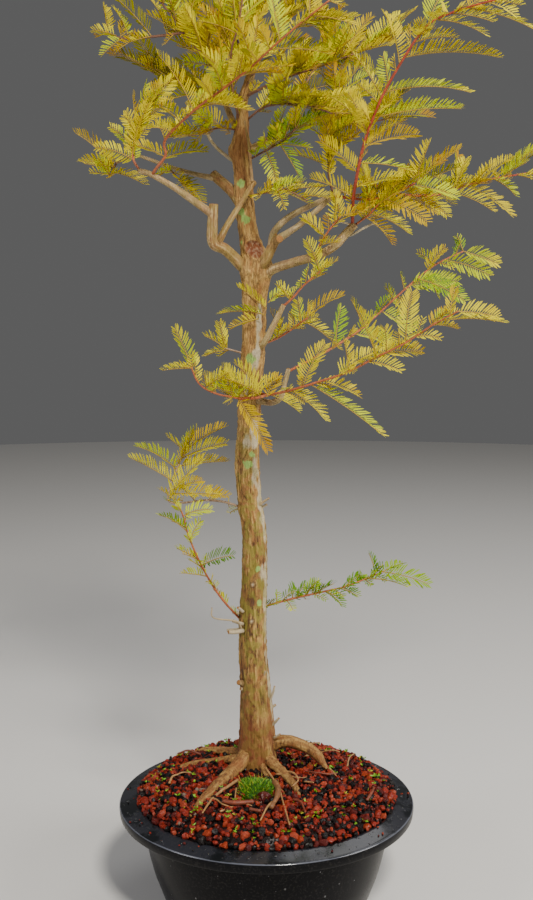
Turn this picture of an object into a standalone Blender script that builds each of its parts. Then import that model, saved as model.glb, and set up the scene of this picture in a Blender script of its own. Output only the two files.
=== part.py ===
"""Bald cypress bonsai in a round training pot.

A slim trunk with surface roots stands in a mound of lava grit. Its boughs carry
masses of feathery sprays: each mass is one stem with toothed blades fused to it,
and every blade stands for one spray of needles. Sizes are in millimetres, the
model itself in metres, with the origin at the middle of the pot's flat underside.
"""
import math
import random
from collections import namedtuple

import bmesh
import bpy
from mathutils import Vector
from mathutils.bvhtree import BVHTree

for old in list(bpy.data.objects):
    bpy.data.objects.remove(old, do_unlink=True)

MM = 0.001
GAP = 0.3            # clearance between neighbours

# Pot: outer radius at each height of the wall, from the foot up to the flange.
POT_HEIGHT = 105.0
RIM_RADIUS = 150.0
CREST_RADIUS = 133.0
FLANGE_FALL = 5.0    # the flange slopes down outwards
LIP_DEPTH = 9.0
POT_WALL = 3.0
POT_TURNS = 24
FOOT_RADIUS = 97.0
WALL_OUTLINE = ((100, 0.8), (106, 5), (110, 15), (116, 32), (121, 52), (125, 72), (128, 92), (131.5, 101))
DRAIN_HOLES = 4
DRAIN_RADIUS = 6.0
DRAIN_CIRCLE = 58.0

# Soil: the mound's height above the pot's underside at each radius, and its uneven top.
GROUND = 123.0
MOUND = ((0, GROUND), (32, GROUND), (62, GROUND - 0.5), (82, 121.5), (98, 119.5),
         (112, 116.5), (121, 112.5), (127.5, 106))
HEAP_HIGH = 1.9          # how far the top rises and falls
HEAP_WIDE = 8.0          # sets how far apart the heaps are, and the band by the pot they die out over
MOSS_PLACE = (-10, -40, GROUND - 2)
MOSS_SIZE = (19, 26, 11)      # half its size across, from front to back and upwards

# Trunk: height, lean along X and radius; it stands a little behind the middle.
TRUNK_Y = 30.0
TRUNK = (
    (104, -11, 22.0), (122, -11, 21.2), (142, -10, 19.6), (175, -10, 17.2), (227, -13, 15.0),
    (275, -14, 14.0), (321, -12, 13.0), (368, -12, 12.3), (403, -17, 11.6), (444, -19, 11.6),
    (496, -17, 11.2), (551, -14, 11.4), (606, -12, 12.0), (638, -11, 15.0), (656, -14, 12.0),
    (674, -19, 9.6), (700, -22, 8.9), (726, -23, 8.2), (754, -26, 8.8), (778, -24, 6.2),
    (802, -23, 4.4), (829, -16, 2.5), (851, -12, 2.0),
)

# A run is (length, heading, rise): heading turns from +X to +Y, rise is up from level.
# Roots start in the trunk's foot and run over the mound: (start, runs, first and last radius).
ROOTS = (
    ((-18, 24, 139), ((24, -128, -24), (34, -118, -8), (36, -112, -4), (30, -114, -9)), (7.6, 4.2)),
    ((-20, 32, 130), ((26, 176, -8), (32, 184, -6), (26, 190, -14)), (4.6, 2.0)),
    ((-18, 38, 132), ((26, 140, -10), (30, 150, -8), (22, 166, -18)), (5.2, 2.4)),
    ((-4, 30, 141), ((22, -8, 22), (18, -14, -4), (20, -22, -22), (20, -48, -34)), (7.2, 5.0)),
    ((-2, 22, 136), ((22, -52, -16), (24, -62, -8), (26, -72, -6), (16, -84, -16)), (5.6, 3.2)),
    ((-6, 18, 130), ((26, -74, -9), (34, -66, -6), (30, -62, -10)), (3.0, 1.4)),
    ((-10, 40, 132), ((26, 78, -10), (30, 66, -8), (24, 54, -16)), (5.6, 2.4)),
)
# Short spurs and stubs on the trunk: height, heading, rise, length from the axis, radius.
SPURS = (
    (189, -10, 35, 25, 1.7), (171, -8, 30, 24, 1.5), (156, -20, 40, 25, 1.7), (400, -12, 35, 21, 1.8),
    (287, 182, 12, 22, 1.9), (268, 186, -4, 27, 2.0), (208, -150, 25, 19, 2.0),
)

# Limbs: name, start, runs, first and last radius. Each starts inside its parent and is cut clear.
LIMBS = (
    ("bough_left_low", (-11, 30, 634),
     ((15, -154, 23), (24, -154, 40), (15, -150, 25), (17, -104, 79), (20, -42, 85)), (6.2, 4.7)),
    ("branch_left_low", (-52, 5, 689), ((20, -173, 34), (25, -175, 34), (24, -175, 29), (13, -175, 18)),
     (3.7, 2.4)),
    ("branch_crossing", (-48, 11, 660), ((18, -20, 61), (23, -5, 58), (29, 4, 57)), (3.2, 2.6)),
    ("twig_crossing", (-14, 6, 720), ((32, 175, 85), (26, 165, 80)), (1.4, 1.0)),
    ("bough_left_high", (-21, 30, 696), ((22, 155, 50), (28, 158, 40)), (6.0, 4.8)),
    ("branch_left_high", (-52, 42, 727),
     ((20, 173, 12), (26, 178, 16), (23, -175, 19), (13, -167, 11), (20, -166, -20)), (2.4, 1.4)),
    ("twig_dead_left", (-25, 30, 738), ((16, -164, 30), (19, -164, 40), (24, -161, 59)), (1.7, 1.3)),
    ("bough_right_front", (-10, 30, 636), ((17, -56, 31), (15, -30, 58), (13, -20, 61)), (6.4, 4.0)),
    ("arm_upper", (5, 14, 659), ((15, 34, 76), (22, 18, 42), (31, 19, 26), (20, 19, 22)), (3.3, 2.6)),
    ("arm_lower", (9, 12, 664), ((28, -5, 33), (33, 4, 40), (12, 14, 40), (20, 13, 24), (19, 13, 13)),
     (3.5, 1.6)),
    ("bough_right_low", (-9, 30, 623),
     ((21, -30, 38), (26, -24, 17), (23, -21, 14), (20, -16, 28), (16, -5, 47), (12, 0, 45)), (4.8, 3.8)),
    ("stub_mid", (-12, 30, 556), ((14, -53, 23), (17, -37, 55), (30, -24, 61)), (3.2, 2.4)),
    ("hook_mid", (-16, 30, 508),
     ((17, -45, -7), (13, -39, -1), (10, -27, 31), (14, -27, 71), (15, 0, 75)), (3.6, 2.2)),
    ("bough_back_left", (-24, 30, 766), ((26, 125, 46), (30, 118, 50), (26, 122, 56)), (3.6, 2.2)),
    ("bough_back_right", (-25, 30, 744), ((26, 60, 30), (32, 45, 25), (30, 35, 30)), (4.2, 2.4)),
    ("bough_back_high", (-22, 30, 800), ((20, 70, 38), (26, 78, 50)), (2.6, 2.0)),
)

# Sprays that a mass's table gives: distance along the stem, length, heading, rise.
# Masses at the back are filled by the rule instead: where its first spray stands, the spacing of
# sprays on one side, their length, and how many stand at the stem's end.
Rule = namedtuple("Rule", "first spacing length ends")
MASSES = (
    ("sprays_low_right", (-5, 30, 292), ((32, 8, 14), (33, 11, 10), (27, 13, 10), (23, 16, 17),
      (19, 20, 18)), (1.5, 0.9),
     ((46, 23, 35, 30), (58, 27, -35, 28), (68, 25, -30, -40), (84, 25, -40, -15), (90, 24, 35, 20),
      (114, 46, -25, -10), (125, 24, 150, 65), (134, 52, 5, -20), (135, 32, 40, 5))),
    ("sprays_low_left", (-24, 30, 276), ((40, -146, 48), (38, -150, 58), (37, -148, 65), (25, -139, 72),
                                         (14, -150, 64)), (1.5, 0.9),
     ((68, 28, -155, 10), (82, 41, -30, 15), (90, 27, 155, 15), (112, 23, 45, 45), (121, 37, -155, 25),
      (139, 31, 30, 0), (152, 26, -155, 35))),
    ("sprays_mid_left", (-19, 30, 393), ((22, 161, 18), (24, 163, 4), (41, 166, -4), (32, 29, 75),
      (23, 33, 62)), (1.6, 0.9),
     ((95, 66, -20, 0), (108, 52, 170, 25), (121, 50, -155, 25), (125, 53, 20, 0),
      (134, 51, -15, 15), (142, 50, 15, 25), (142, 27, 150, 30), (99, 38, 35, 5))),
    ("sprays_front_right", (-6, 30, 513), ((29, -72, 2), (28, -40, 12), (31, -24, 17), (29, -21, 19),
      (34, -24, 27), (30, -26, 26), (31, -23, 33), (27, -25, 28)),
     (1.7, 0.9),
     ((48, 24, -25, -30), (57, 44, -10, -45), (70, 48, 25, 50), (78, 86, -15, -35),
      (91, 41, 20, -25), (108, 43, 30, 25), (119, 31, 115, 65), (140, 34, -25, -20),
      (150, 50, -155, 60), (159, 37, 15, 0), (182, 48, 45, 75), (192, 24, -20, -10),
      (212, 26, 20, -15), (220, 58, -10, -5), (238, 40, 10, -10), (230, 26, 40, 70))),
    ("sprays_front_left", (-21, 30, 506), ((28, -100, 8), (27, -158, 13), (19, -159, 31), (18, -166, 64)),
     (1.5, 0.9),
     ((31, 60, -25, -60), (36, 33, -115, 50), (54, 24, 150, 45), (67, 32, -25, 25), (91, 42, -170, 65),
      (91, 30, -155, -5))),
    ("sprays_mid_right", (22, 4, 537), ((21, 13, 26), (27, 15, 27), (34, 16, 31), (26, 17, 39),
      (43, 18, 40), (37, 19, 36), (34, 19, 24)), (1.6, 0.9),
     ((16, 27, -100, -55), (54, 39, 55, 70), (76, 42, 20, -20), (88, 32, 130, 55),
      (113, 38, 20, -40), (131, 18, 135, 45), (137, 22, -65, -60), (152, 53, 15, 0),
      (164, 53, -20, -30), (187, 22, 160, 30), (199, 48, -15, -25), (222, 17, 180, 65),
      (222, 40, 10, -20), (175, 32, 45, -50))),
    ("sprays_mid_small", (17, 8, 601), ((12, -15, 40), (16, -21, 47), (22, -14, 40)), (1.3, 0.9),
     ((8, 21, -155, 40), (14, 20, 150, -5), (49, 33, -160, 60), (49, 22, -30, 25), (33, 21, 30, 20))),
    ("sprays_mid_inner", (-5, 24, 562), ((24, 20, 22), (32, -20, 34)), (1.4, 0.9),
     ((24, 31, 165, 45), (55, 43, -10, 25), (50, 56, 5, -20), (55, 18, 70, 65), (40, 31, 40, 10))),
    ("sprays_trunk_side", (-19, 30, 552), ((26, -160, 16),), (1.3, 1.0),
     ((19, 27, -165, -20), (25, 27, -130, 70), (25, 27, 150, 20))),
    ("sprays_left_sweep", (-110, -1, 726), ((10, -54, 33), (16, -33, 46), (16, -84, 60), (40, -33, 35),
      (34, -32, 27), (37, -30, 29), (29, -30, 34), (29, -29, 32), (33, -29, 30)), (1.7, 0.9),
     ((20, 46, 25, 5), (24, 30, -150, 12), (38, 24, -165, 55), (44, 42, 15, 4),
      (56, 42, 30, 30), (82, 63, 165, 52), (96, 44, -20, -14), (120, 52, 105, 58),
      (140, 50, -15, 0), (152, 50, 70, 62), (176, 54, 0, -8), (188, 50, 110, 56),
      (208, 54, 5, 6), (222, 46, 80, 66), (243, 48, 0, 40))),
    ("sprays_left_fan", (-121, -2, 729), ((15, 164, 60), (20, 56, 76), (21, 28, 66), (16, 28, 58)),
     (1.4, 0.9),
     ((12, 40, 175, 12), (20, 36, 160, 40), (30, 52, 100, 62), (44, 46, 60, 70), (52, 36, 20, 30),
      (66, 40, 30, 45), (36, 26, -120, 40))),
    ("sprays_left_tip", (-148, 36, 742), ((10, 155, -58), (9, -120, -50)), (1.2, 0.9),
     ((9, 52, 178, 36), (11, 42, -32, -24), (16, 24, -120, 30), (18, 24, 160, 46))),
    ("sprays_left_droop", (-98, 46, 738), ((12, -60, -30), (14, -38, -44)), (1.2, 0.9),
     ((20, 36, -20, -50), (25, 34, -62, -38), (12, 26, -120, -10))),
    ("sprays_upper_left", (-24, 30, 800), ((49, -159, 46), (22, -152, 40), (14, -153, 51), (24, -158, 48),
      (16, -158, 48), (19, -159, 54)), (1.8, 0.9),
     ((26, 46, -60, 10), (38, 52, -175, 26), (56, 56, -110, 34), (70, 52, -175, 28),
      (84, 46, 60, 56), (94, 50, -130, 56), (104, 44, 100, 36), (116, 46, -20, 50),
      (128, 40, 170, 40), (136, 44, -165, 66)),
     (84, ((24, 164, -4), (39, 162, 0), (22, 157, 21)),
      ((18, 48, 130, 46), (34, 52, 165, 44), (44, 30, -150, -36), (58, 34, 150, 52), (64, 26, -165, -44),
       (82, 30, 120, 62), (72, 24, -150, 4)))),
    ("sprays_upright_left", (-25, 30, 775), ((40, -112, 58), (32, -93, 72), (20, -57, 62), (20, -53, 68),
      (29, -60, 76)),
     (1.6, 0.9),
     ((44, 46, -130, 26), (58, 50, 20, 20), (70, 52, -150, 44), (82, 46, 0, 40), (94, 48, -100, 40),
      (104, 46, 120, 36), (116, 42, -60, 54), (126, 40, 60, 66))),
    ("sprays_top_right", (-20, 30, 804), ((36, -12, 24), (37, -3, 17), (37, 3, 20), (37, 10, 22)),
     (1.7, 0.9),
     ((32, 52, 10, 44), (42, 48, -50, -4), (54, 52, 40, 30), (66, 54, -30, 24), (78, 50, 25, -8),
      (90, 50, -70, 30), (100, 54, 30, 50), (114, 46, -45, 0), (126, 50, 20, 40), (144, 48, -15, 6))),
    ("sprays_leader", (-12, 31, 851), ((26, -22, 82), (26, -145, 80), (20, -100, 78)), (1.7, 0.9),
     ((12, 50, -20, 24), (20, 52, 150, 30), (30, 50, 60, 36), (38, 50, -100, 36), (48, 46, 10, 50),
      (58, 46, 170, 52), (62, 40, -60, 56), (70, 38, 90, 60))),
    ("sprays_right_fan", (83, -2, 676), ((29, -92, 64), (22, -80, 56), (23, -75, 58), (24, -61, 61),
      (34, -51, 58), (39, -38, 54), (32, -34, 48), (24, -27, 21), (35, -24, 11), (31, -23, 7)), (2.0, 0.9),
     ((30, 44, 170, 20), (42, 50, 10, 4), (56, 46, -170, 34), (66, 52, 0, -14),
      (82, 56, 15, 10), (98, 48, 170, 34), (110, 80, -5, 2), (124, 28, 160, 40),
      (130, 55, 150, 52), (135, 78, -8, -6), (162, 56, 120, 58), (170, 86, 5, -4),
      (186, 35, -10, -2), (204, 44, 40, 50), (214, 44, -15, -28), (226, 38, -15, -20),
      (240, 40, 30, 30), (258, 28, -10, -34), (270, 42, 5, 24), (290, 36, -10, 22))),
    ("sprays_right_long", (102, 22, 720), ((29, 21, -17), (21, 22, -5), (23, 20, 3), (25, 25, 16),
      (24, 20, 16), (27, 23, 13), (42, 20, 10), (33, 18, 13)),
     (1.9, 0.9),
     ((12, 66, -30, -26), (26, 40, -30, 36), (43, 58, 5, 24), (58, 36, -35, -42),
      (70, 62, 15, 10), (86, 52, -20, -30), (98, 44, 60, 44), (110, 56, -10, -36),
      (125, 50, 30, 30), (144, 30, -30, -44), (158, 44, 15, 34), (180, 40, -25, -20),
      (202, 40, 30, 26), (221, 38, -10, 4))),
    ("sprays_right_red", (66, 14, 707), ((36, -38, -8), (24, -16, 7), (27, -14, 25)), (1.8, 0.9),
     ((40, 50, -130, 4), (50, 56, -30, -30), (60, 48, 20, 46), (70, 54, -25, 26), (82, 50, 20, -16),
      (93, 52, -10, 34), (94, 40, -50, 60))),
    ("sprays_right_inner", (67, 36, 708), ((26, -157, 76), (30, -65, 80), (22, -55, 77), (22, -42, 74)),
     (1.5, 0.9),
     ((30, 40, 175, 14), (40, 52, 10, 30), (52, 44, 160, 26), (62, 56, -20, 18), (74, 46, -165, 36),
      (84, 52, 20, 24), (96, 44, 170, 44), (97, 46, 0, 50))),
    ("sprays_right_low", (85, -2, 678), ((18, -31, 32), (15, -44, 39)), (1.3, 0.9),
     ((14, 36, -5, -52), (20, 42, -20, -34), (30, 34, -40, 20), (33, 36, 10, 12))),
    ("sprays_centre_low", (-20, 28, 708), ((34, -50, 3), (18, -33, 6), (26, -19, -25)), (1.3, 0.9),
     ((36, 34, -10, 12), (44, 28, -70, -50), (54, 40, 15, 4), (70, 30, -30, -10))),
    ("sprays_centre_orange", (50, 2, 648), ((15, -81, 50), (17, -36, 52), (17, -17, 49)), (1.3, 0.9),
     ((24, 30, -150, 30), (34, 34, 10, 34), (48, 26, -120, 50), (50, 26, -10, 10))),
    ("sprays_trunk_right", (-19, 30, 782), ((28, -42, 21), (35, -20, 0), (32, -15, -18)), (1.4, 0.9),
     ((28, 60, -20, 4), (36, 50, -70, 30), (52, 56, 25, 22), (64, 50, -35, -14), (76, 50, 10, 16),
      (92, 44, -15, -12))),
    ("sprays_trunk_left", (-27, 30, 772), ((26, -135, -1), (19, -147, -18), (15, -165, -14)), (1.3, 0.9),
     ((22, 40, -170, 22), (34, 38, -110, 12), (46, 34, 160, 6), (58, 30, -160, 10))),
    ("sprays_centre_green", (-20, 30, 742), ((26, -38, 19), (22, -30, 22), (20, -24, 44)), (1.3, 0.9),
     ((26, 36, -60, -62), (32, 44, -10, 22), (42, 36, -20, -60), (54, 48, 10, 20), (66, 44, -45, 30))),
    ("sprays_back_left", (-42, 59, 803), ((30, 150, 24), (32, 160, 20), (26, 170, 26)), (1.6, 0.9),
     Rule(12, 38, 46, 2)),
    ("sprays_back_left_top", (-51, 73, 829), ((32, 106, 60), (32, 118, 54), (24, 130, 60)), (1.6, 0.9),
     Rule(12, 38, 46, 2)),
    ("sprays_back_right", (17, 77, 780), ((36, 12, 8), (38, 18, 2), (36, 12, 10)), (1.6, 0.9),
     Rule(14, 34, 52, 3)),
    ("sprays_back_right_top", (28, 84, 788), ((36, 66, 58), (36, 50, 52), (30, 40, 58)), (1.6, 0.9),
     Rule(16, 38, 46, 2)),
    ("sprays_back_high", (-13, 55, 831), ((30, 44, 58), (32, 34, 48), (28, 24, 54)), (1.6, 0.9),
     Rule(12, 38, 46, 2)),
    ("sprays_back_high_left", (-14, 54, 829), ((30, 140, 60), (32, 136, 60), (24, 150, 64)), (1.5, 0.9),
     Rule(12, 38, 46, 2)),
)

# A spray: needles reach this far from the rib, leaning this much forward.
NEEDLE = 11.0
NEEDLE_SHARE = 0.27      # of a short spray's length
NEEDLE_LEAN = math.radians(56)
NEEDLE_RAISE = 0.22
ROOT_HALF = 0.9           # half the rib's width at its root and beyond it
RIB_HALF = 1.6
RIB_THICK = 1.1
LONG_SPRAY = 53.0         # a longer spray has more teeth
LONG_TEETH = 3
SHORT_TEETH = 2
DROOP = (8, 34)           # how far a spray's tip turns down from its root, in degrees
ROLL = (-62, -6)          # how far a spray is rolled about its rib
SPRAY_TRIES = 4           # a spray that would touch is turned and shortened this many times
TRY_TURN = 14
TRY_RISE = 12
TRY_LENGTH = 0.9
SEEDS = 100               # each mass has this many seeds of its own, one for each spray


def collection(name):
    """A new collection under the scene's own."""
    made = bpy.data.collections.new(name)
    bpy.context.scene.collection.children.link(made)
    return made


PARTS = collection("bald_cypress_bonsai")
CUTTERS = collection("cutters")


def material(name, colour, roughness):
    """A Principled material, made once and shared."""
    made = bpy.data.materials.get(name) or bpy.data.materials.new(name)
    made.use_nodes = True
    shader = made.node_tree.nodes["Principled BSDF"]
    shader.inputs["Base Color"].default_value = (*colour, 1.0)
    shader.inputs["Roughness"].default_value = roughness
    return made


BARK = ("bark", (0.33, 0.21, 0.11), 0.85)
PLASTIC = ("black_plastic", (0.012, 0.013, 0.015), 0.32)
LAVA = ("lava_grit", (0.24, 0.06, 0.04), 0.9)
MOSS = ("moss", (0.12, 0.30, 0.03), 0.95)
NEEDLES = ("autumn_needles", (0.55, 0.42, 0.06), 0.6)


def add_object(mesh, name, where):
    made = bpy.data.objects.new(name, mesh)
    where.objects.link(made)
    return made


def set_finish(obj, finish, angle=35):
    obj.data.materials.clear()
    obj.data.materials.append(material(*finish))
    obj.data.shade_smooth()
    obj.data.set_sharp_from_angle(angle=math.radians(angle))


def evaluated_mesh(obj):
    """The object's mesh as its modifiers leave it."""
    bpy.context.view_layer.update()
    return bpy.data.meshes.new_from_object(obj.evaluated_get(bpy.context.evaluated_depsgraph_get()))


def apply_modifiers(obj):
    mesh = evaluated_mesh(obj)
    obj.modifiers.clear()
    obj.data = mesh


def boolean(obj, operation, other, solver="EXACT"):
    """A Boolean with an object or a whole collection."""
    step = obj.modifiers.new(operation.lower(), "BOOLEAN")
    step.operation = operation
    step.solver = solver
    if isinstance(other, bpy.types.Collection):
        step.operand_type = "COLLECTION"
        step.collection = other
    else:
        step.object = other


def hide_as_cutter(obj):
    obj.hide_render = True
    obj.display_type = "WIRE"


def turned(name, profile, steps, where):
    """A profile of (radius, height) turned round Z."""
    mesh = bpy.data.meshes.new(name)
    points = [(radius * MM, 0.0, height * MM) for radius, height in profile]
    mesh.from_pydata(points, [(i, i + 1) for i in range(len(points) - 1)], [])
    obj = add_object(mesh, name, where)
    screw = obj.modifiers.new("turn", "SCREW")
    screw.steps = steps
    screw.render_steps = steps
    screw.use_merge_vertices = True
    screw.merge_threshold = 0.0001
    apply_modifiers(obj)
    return obj


def direction(heading, rise):
    """Unit vector from a heading and a rise in degrees."""
    turn, lift = math.radians(heading), math.radians(rise)
    return Vector((math.cos(turn) * math.cos(lift), math.sin(turn) * math.cos(lift), math.sin(lift)))


def walk(start, runs):
    """The points that a chain of runs passes, in millimetres."""
    points = [Vector(start)]
    for length, heading, rise in runs:
        points.append(points[-1] + length * direction(heading, rise))
    return points


def tapered(points, radii):
    """A radius for each point, even along the length between the first and last."""
    travelled = [0.0]
    for a, b in zip(points, points[1:]):
        travelled.append(travelled[-1] + (b - a).length)
    return [radii[0] + (radii[1] - radii[0]) * t / travelled[-1] for t in travelled]


def outward(mesh):
    """Weld the mesh's doubled points and turn its faces outwards."""
    shell = bmesh.new()
    shell.from_mesh(mesh)
    bmesh.ops.remove_doubles(shell, verts=shell.verts, dist=1e-6)
    bmesh.ops.recalc_face_normals(shell, faces=shell.faces)
    shell.to_mesh(mesh)
    shell.free()
    return mesh


def three_sided_section():
    """The outline that a thin twig is swept from, a triangle of 1 mm radius."""
    curve = bpy.data.curves.new("twig_section", "CURVE")
    spline = curve.splines.new("POLY")
    spline.points.add(2)
    for k, knot in enumerate(spline.points):
        angle = 2 * math.pi * k / 3
        knot.co = (MM * math.cos(angle), MM * math.sin(angle), 0.0, 1.0)
    spline.use_cyclic_u = True
    section = add_object(curve, "twig_section", CUTTERS)
    hide_as_cutter(section)
    return section


def tube(name, points, radii, resolution, where, section=None):
    """A limb through the points (mm), round or of a given section, made a closed mesh."""
    curve = bpy.data.curves.new(name, "CURVE")
    curve.dimensions = "3D"
    curve.use_fill_caps = True
    if section:
        curve.bevel_mode = "OBJECT"
        curve.bevel_object = section
    else:
        curve.bevel_depth = MM
        curve.bevel_resolution = resolution
    spline = curve.splines.new("POLY")
    spline.points.add(len(points) - 1)
    for knot, point, radius in zip(spline.points, points, radii):
        knot.co = (*(point * MM), 1.0)
        knot.radius = radius
    guide = add_object(curve, name + "_guide", where)
    obj = add_object(evaluated_mesh(guide), name, where)
    bpy.data.objects.remove(guide, do_unlink=True)
    outward(obj.data)
    return obj


def bvh(obj):
    shell = bmesh.new()
    shell.from_mesh(obj.data)
    tree = BVHTree.FromBMesh(shell)
    shell.free()
    return tree


# Limbs already grown: each keeps a copy swollen by the gap, which cuts what starts in it.
swollen = []


def keep_clear(name, points, radii, resolution):
    """Add a limb's swollen copy to what later limbs and stems are cut by."""
    reach = (points[-1] - points[-2]).normalized() * GAP
    grown = tube(name + "_clear", points[:-1] + [points[-1] + reach], [r + GAP for r in radii],
                 resolution, CUTTERS)
    hide_as_cutter(grown)
    swollen.append((grown, bvh(grown)))


def cut_clear(obj):
    """Cut an object 0.3 mm clear of every limb that it starts in or meets."""
    shape = bvh(obj)
    for grown, tree in swollen:
        if shape.overlap(tree):
            boolean(obj, "DIFFERENCE", grown, "MANIFOLD")
    if obj.modifiers:
        apply_modifiers(obj)


def make_pot():
    edge_top = POT_HEIGHT - FLANGE_FALL
    lip_foot = edge_top - LIP_DEPTH
    inside = [(0, POT_WALL)] + [(r - POT_WALL, max(z, POT_WALL)) for r, z in WALL_OUTLINE]
    flange = [(CREST_RADIUS - 2, POT_HEIGHT - 0.5), (CREST_RADIUS, POT_HEIGHT),
              (RIM_RADIUS - 2, edge_top + 0.6), (RIM_RADIUS, edge_top - 2),
              (RIM_RADIUS - 1, lip_foot), (RIM_RADIUS - 3, lip_foot), (RIM_RADIUS - 4, edge_top - 2.6)]
    outside = list(reversed(WALL_OUTLINE)) + [(FOOT_RADIUS, 0), (0, 0)]
    pot = turned("pot", inside + flange + outside, POT_TURNS, PARTS)
    for i in range(DRAIN_HOLES):
        angle = 2 * math.pi * i / DRAIN_HOLES
        bpy.ops.mesh.primitive_cylinder_add(
            vertices=6, radius=DRAIN_RADIUS * MM, depth=4 * POT_WALL * MM,
            location=(DRAIN_CIRCLE * MM * math.cos(angle), DRAIN_CIRCLE * MM * math.sin(angle), 0))
        drill = bpy.context.object
        drill.name = f"drain_drill_{i}"
        bpy.context.collection.objects.unlink(drill)
        CUTTERS.objects.link(drill)
        hide_as_cutter(drill)
        boolean(pot, "DIFFERENCE", drill)
    apply_modifiers(pot)
    set_finish(pot, PLASTIC)


def heaped(obj):
    """Raise and lower the soil's top in low heaps, which die out towards the pot."""
    shell = bmesh.new()
    shell.from_mesh(obj.data)
    for vertex in shell.verts:
        x, y, z = vertex.co / MM
        level = min(1.0, max(0.0, (z - MOUND[-1][1]) / HEAP_WIDE))
        wave = math.sin(x / HEAP_WIDE + 1.3 * math.sin(y / HEAP_WIDE)) * math.cos(y / HEAP_WIDE - 0.6)
        vertex.co.z += HEAP_HIGH * MM * level * wave
    bmesh.ops.triangulate(shell, faces=shell.faces)
    shell.to_mesh(obj.data)
    shell.free()


def make_soil():
    """The filling follows the pot's inside and mounds above its rim."""
    side = [(r - POT_WALL - GAP, z) for r, z in reversed(WALL_OUTLINE[1:])]
    foot = WALL_OUTLINE[0][0] - POT_WALL - GAP
    profile = list(MOUND) + side + [(foot, POT_WALL + GAP), (0, POT_WALL + GAP)]
    soil = turned("soil", profile, POT_TURNS, PARTS)
    heaped(soil)
    set_finish(soil, LAVA)
    above = turned("soil_clear", profile, POT_TURNS, CUTTERS)
    heaped(above)
    above.location.z = GAP * MM
    hide_as_cutter(above)
    return above


def make_moss(above):
    """A low cushion of moss in front of the trunk."""
    bpy.ops.mesh.primitive_uv_sphere_add(segments=12, ring_count=8, radius=1.0)
    moss = bpy.context.object
    moss.name = "moss"
    bpy.context.collection.objects.unlink(moss)
    PARTS.objects.link(moss)
    across, deep, high = MOSS_SIZE
    for vertex in moss.data.vertices:
        x, y, z = vertex.co
        wave = 1 + 0.16 * math.sin(3 * math.atan2(y, x) + 0.7)
        vertex.co = (Vector(MOSS_PLACE) + Vector((x * across * wave, y * deep * wave, z * high))) * MM
    boolean(moss, "DIFFERENCE", above, "MANIFOLD")
    apply_modifiers(moss)
    cut_clear(moss)
    set_finish(moss, MOSS)


def make_trunk(above):
    """The trunk with its surface roots and spurs fused on, cut level at the ground."""
    points = [Vector((lean, TRUNK_Y, height)) for height, lean, radius in TRUNK]
    radii = [radius for height, lean, radius in TRUNK]
    trunk = tube("trunk", points, radii, 2, PARTS)
    offshoots = collection("trunk_offshoots")
    for i, (start, runs, taper) in enumerate(ROOTS):
        path = walk(start, runs)
        tube(f"root_{i}", path, tapered(path, taper), 1, offshoots)
        keep_clear(f"root_{i}", path, tapered(path, taper), 1)
    for i, (height, heading, rise, length, radius) in enumerate(SPURS):
        lean = trunk_lean(height)
        path = walk((lean, TRUNK_Y, height - length * math.sin(math.radians(rise))),
                    ((length, heading, rise),))
        tube(f"spur_{i}", path, (radius, radius * 0.8), 0, offshoots)
    boolean(trunk, "UNION", offshoots, "MANIFOLD")
    boolean(trunk, "DIFFERENCE", above, "MANIFOLD")
    apply_modifiers(trunk)
    remove_collection(offshoots)
    set_finish(trunk, BARK)
    keep_clear("trunk", points, radii, 2)
    return trunk


def trunk_lean(height):
    """The trunk axis's X at a height."""
    for (low, lean_low, _), (high, lean_high, _) in zip(TRUNK, TRUNK[1:]):
        if low <= height <= high:
            return lean_low + (lean_high - lean_low) * (height - low) / (high - low)
    return TRUNK[-1][1]


def remove_collection(group):
    for obj in list(group.objects):
        bpy.data.objects.remove(obj, do_unlink=True)
    bpy.data.collections.remove(group)


def make_limb(name, start, runs, taper):
    points = walk(start, runs)
    radii = tapered(points, taper)
    limb = tube(name, points, radii, 1, PARTS)
    cut_clear(limb)
    keep_clear(name, points, radii, 1)
    set_finish(limb, BARK)
    return limb


def along(points, distance):
    """The point at a distance along a path, and the direction there."""
    for a, b in zip(points, points[1:]):
        step = (b - a).length
        if distance <= step:
            return a + (b - a) * (distance / step), (b - a) / step
        distance -= step
    return points[-1], (points[-1] - points[-2]).normalized()


def width_at(t):
    """How far the needles reach at a fraction of a spray's length, against the longest."""
    return 0.62 + 0.38 * math.sin(math.pi * min(1.0, t * 1.15)) - 0.34 * t ** 3


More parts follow.
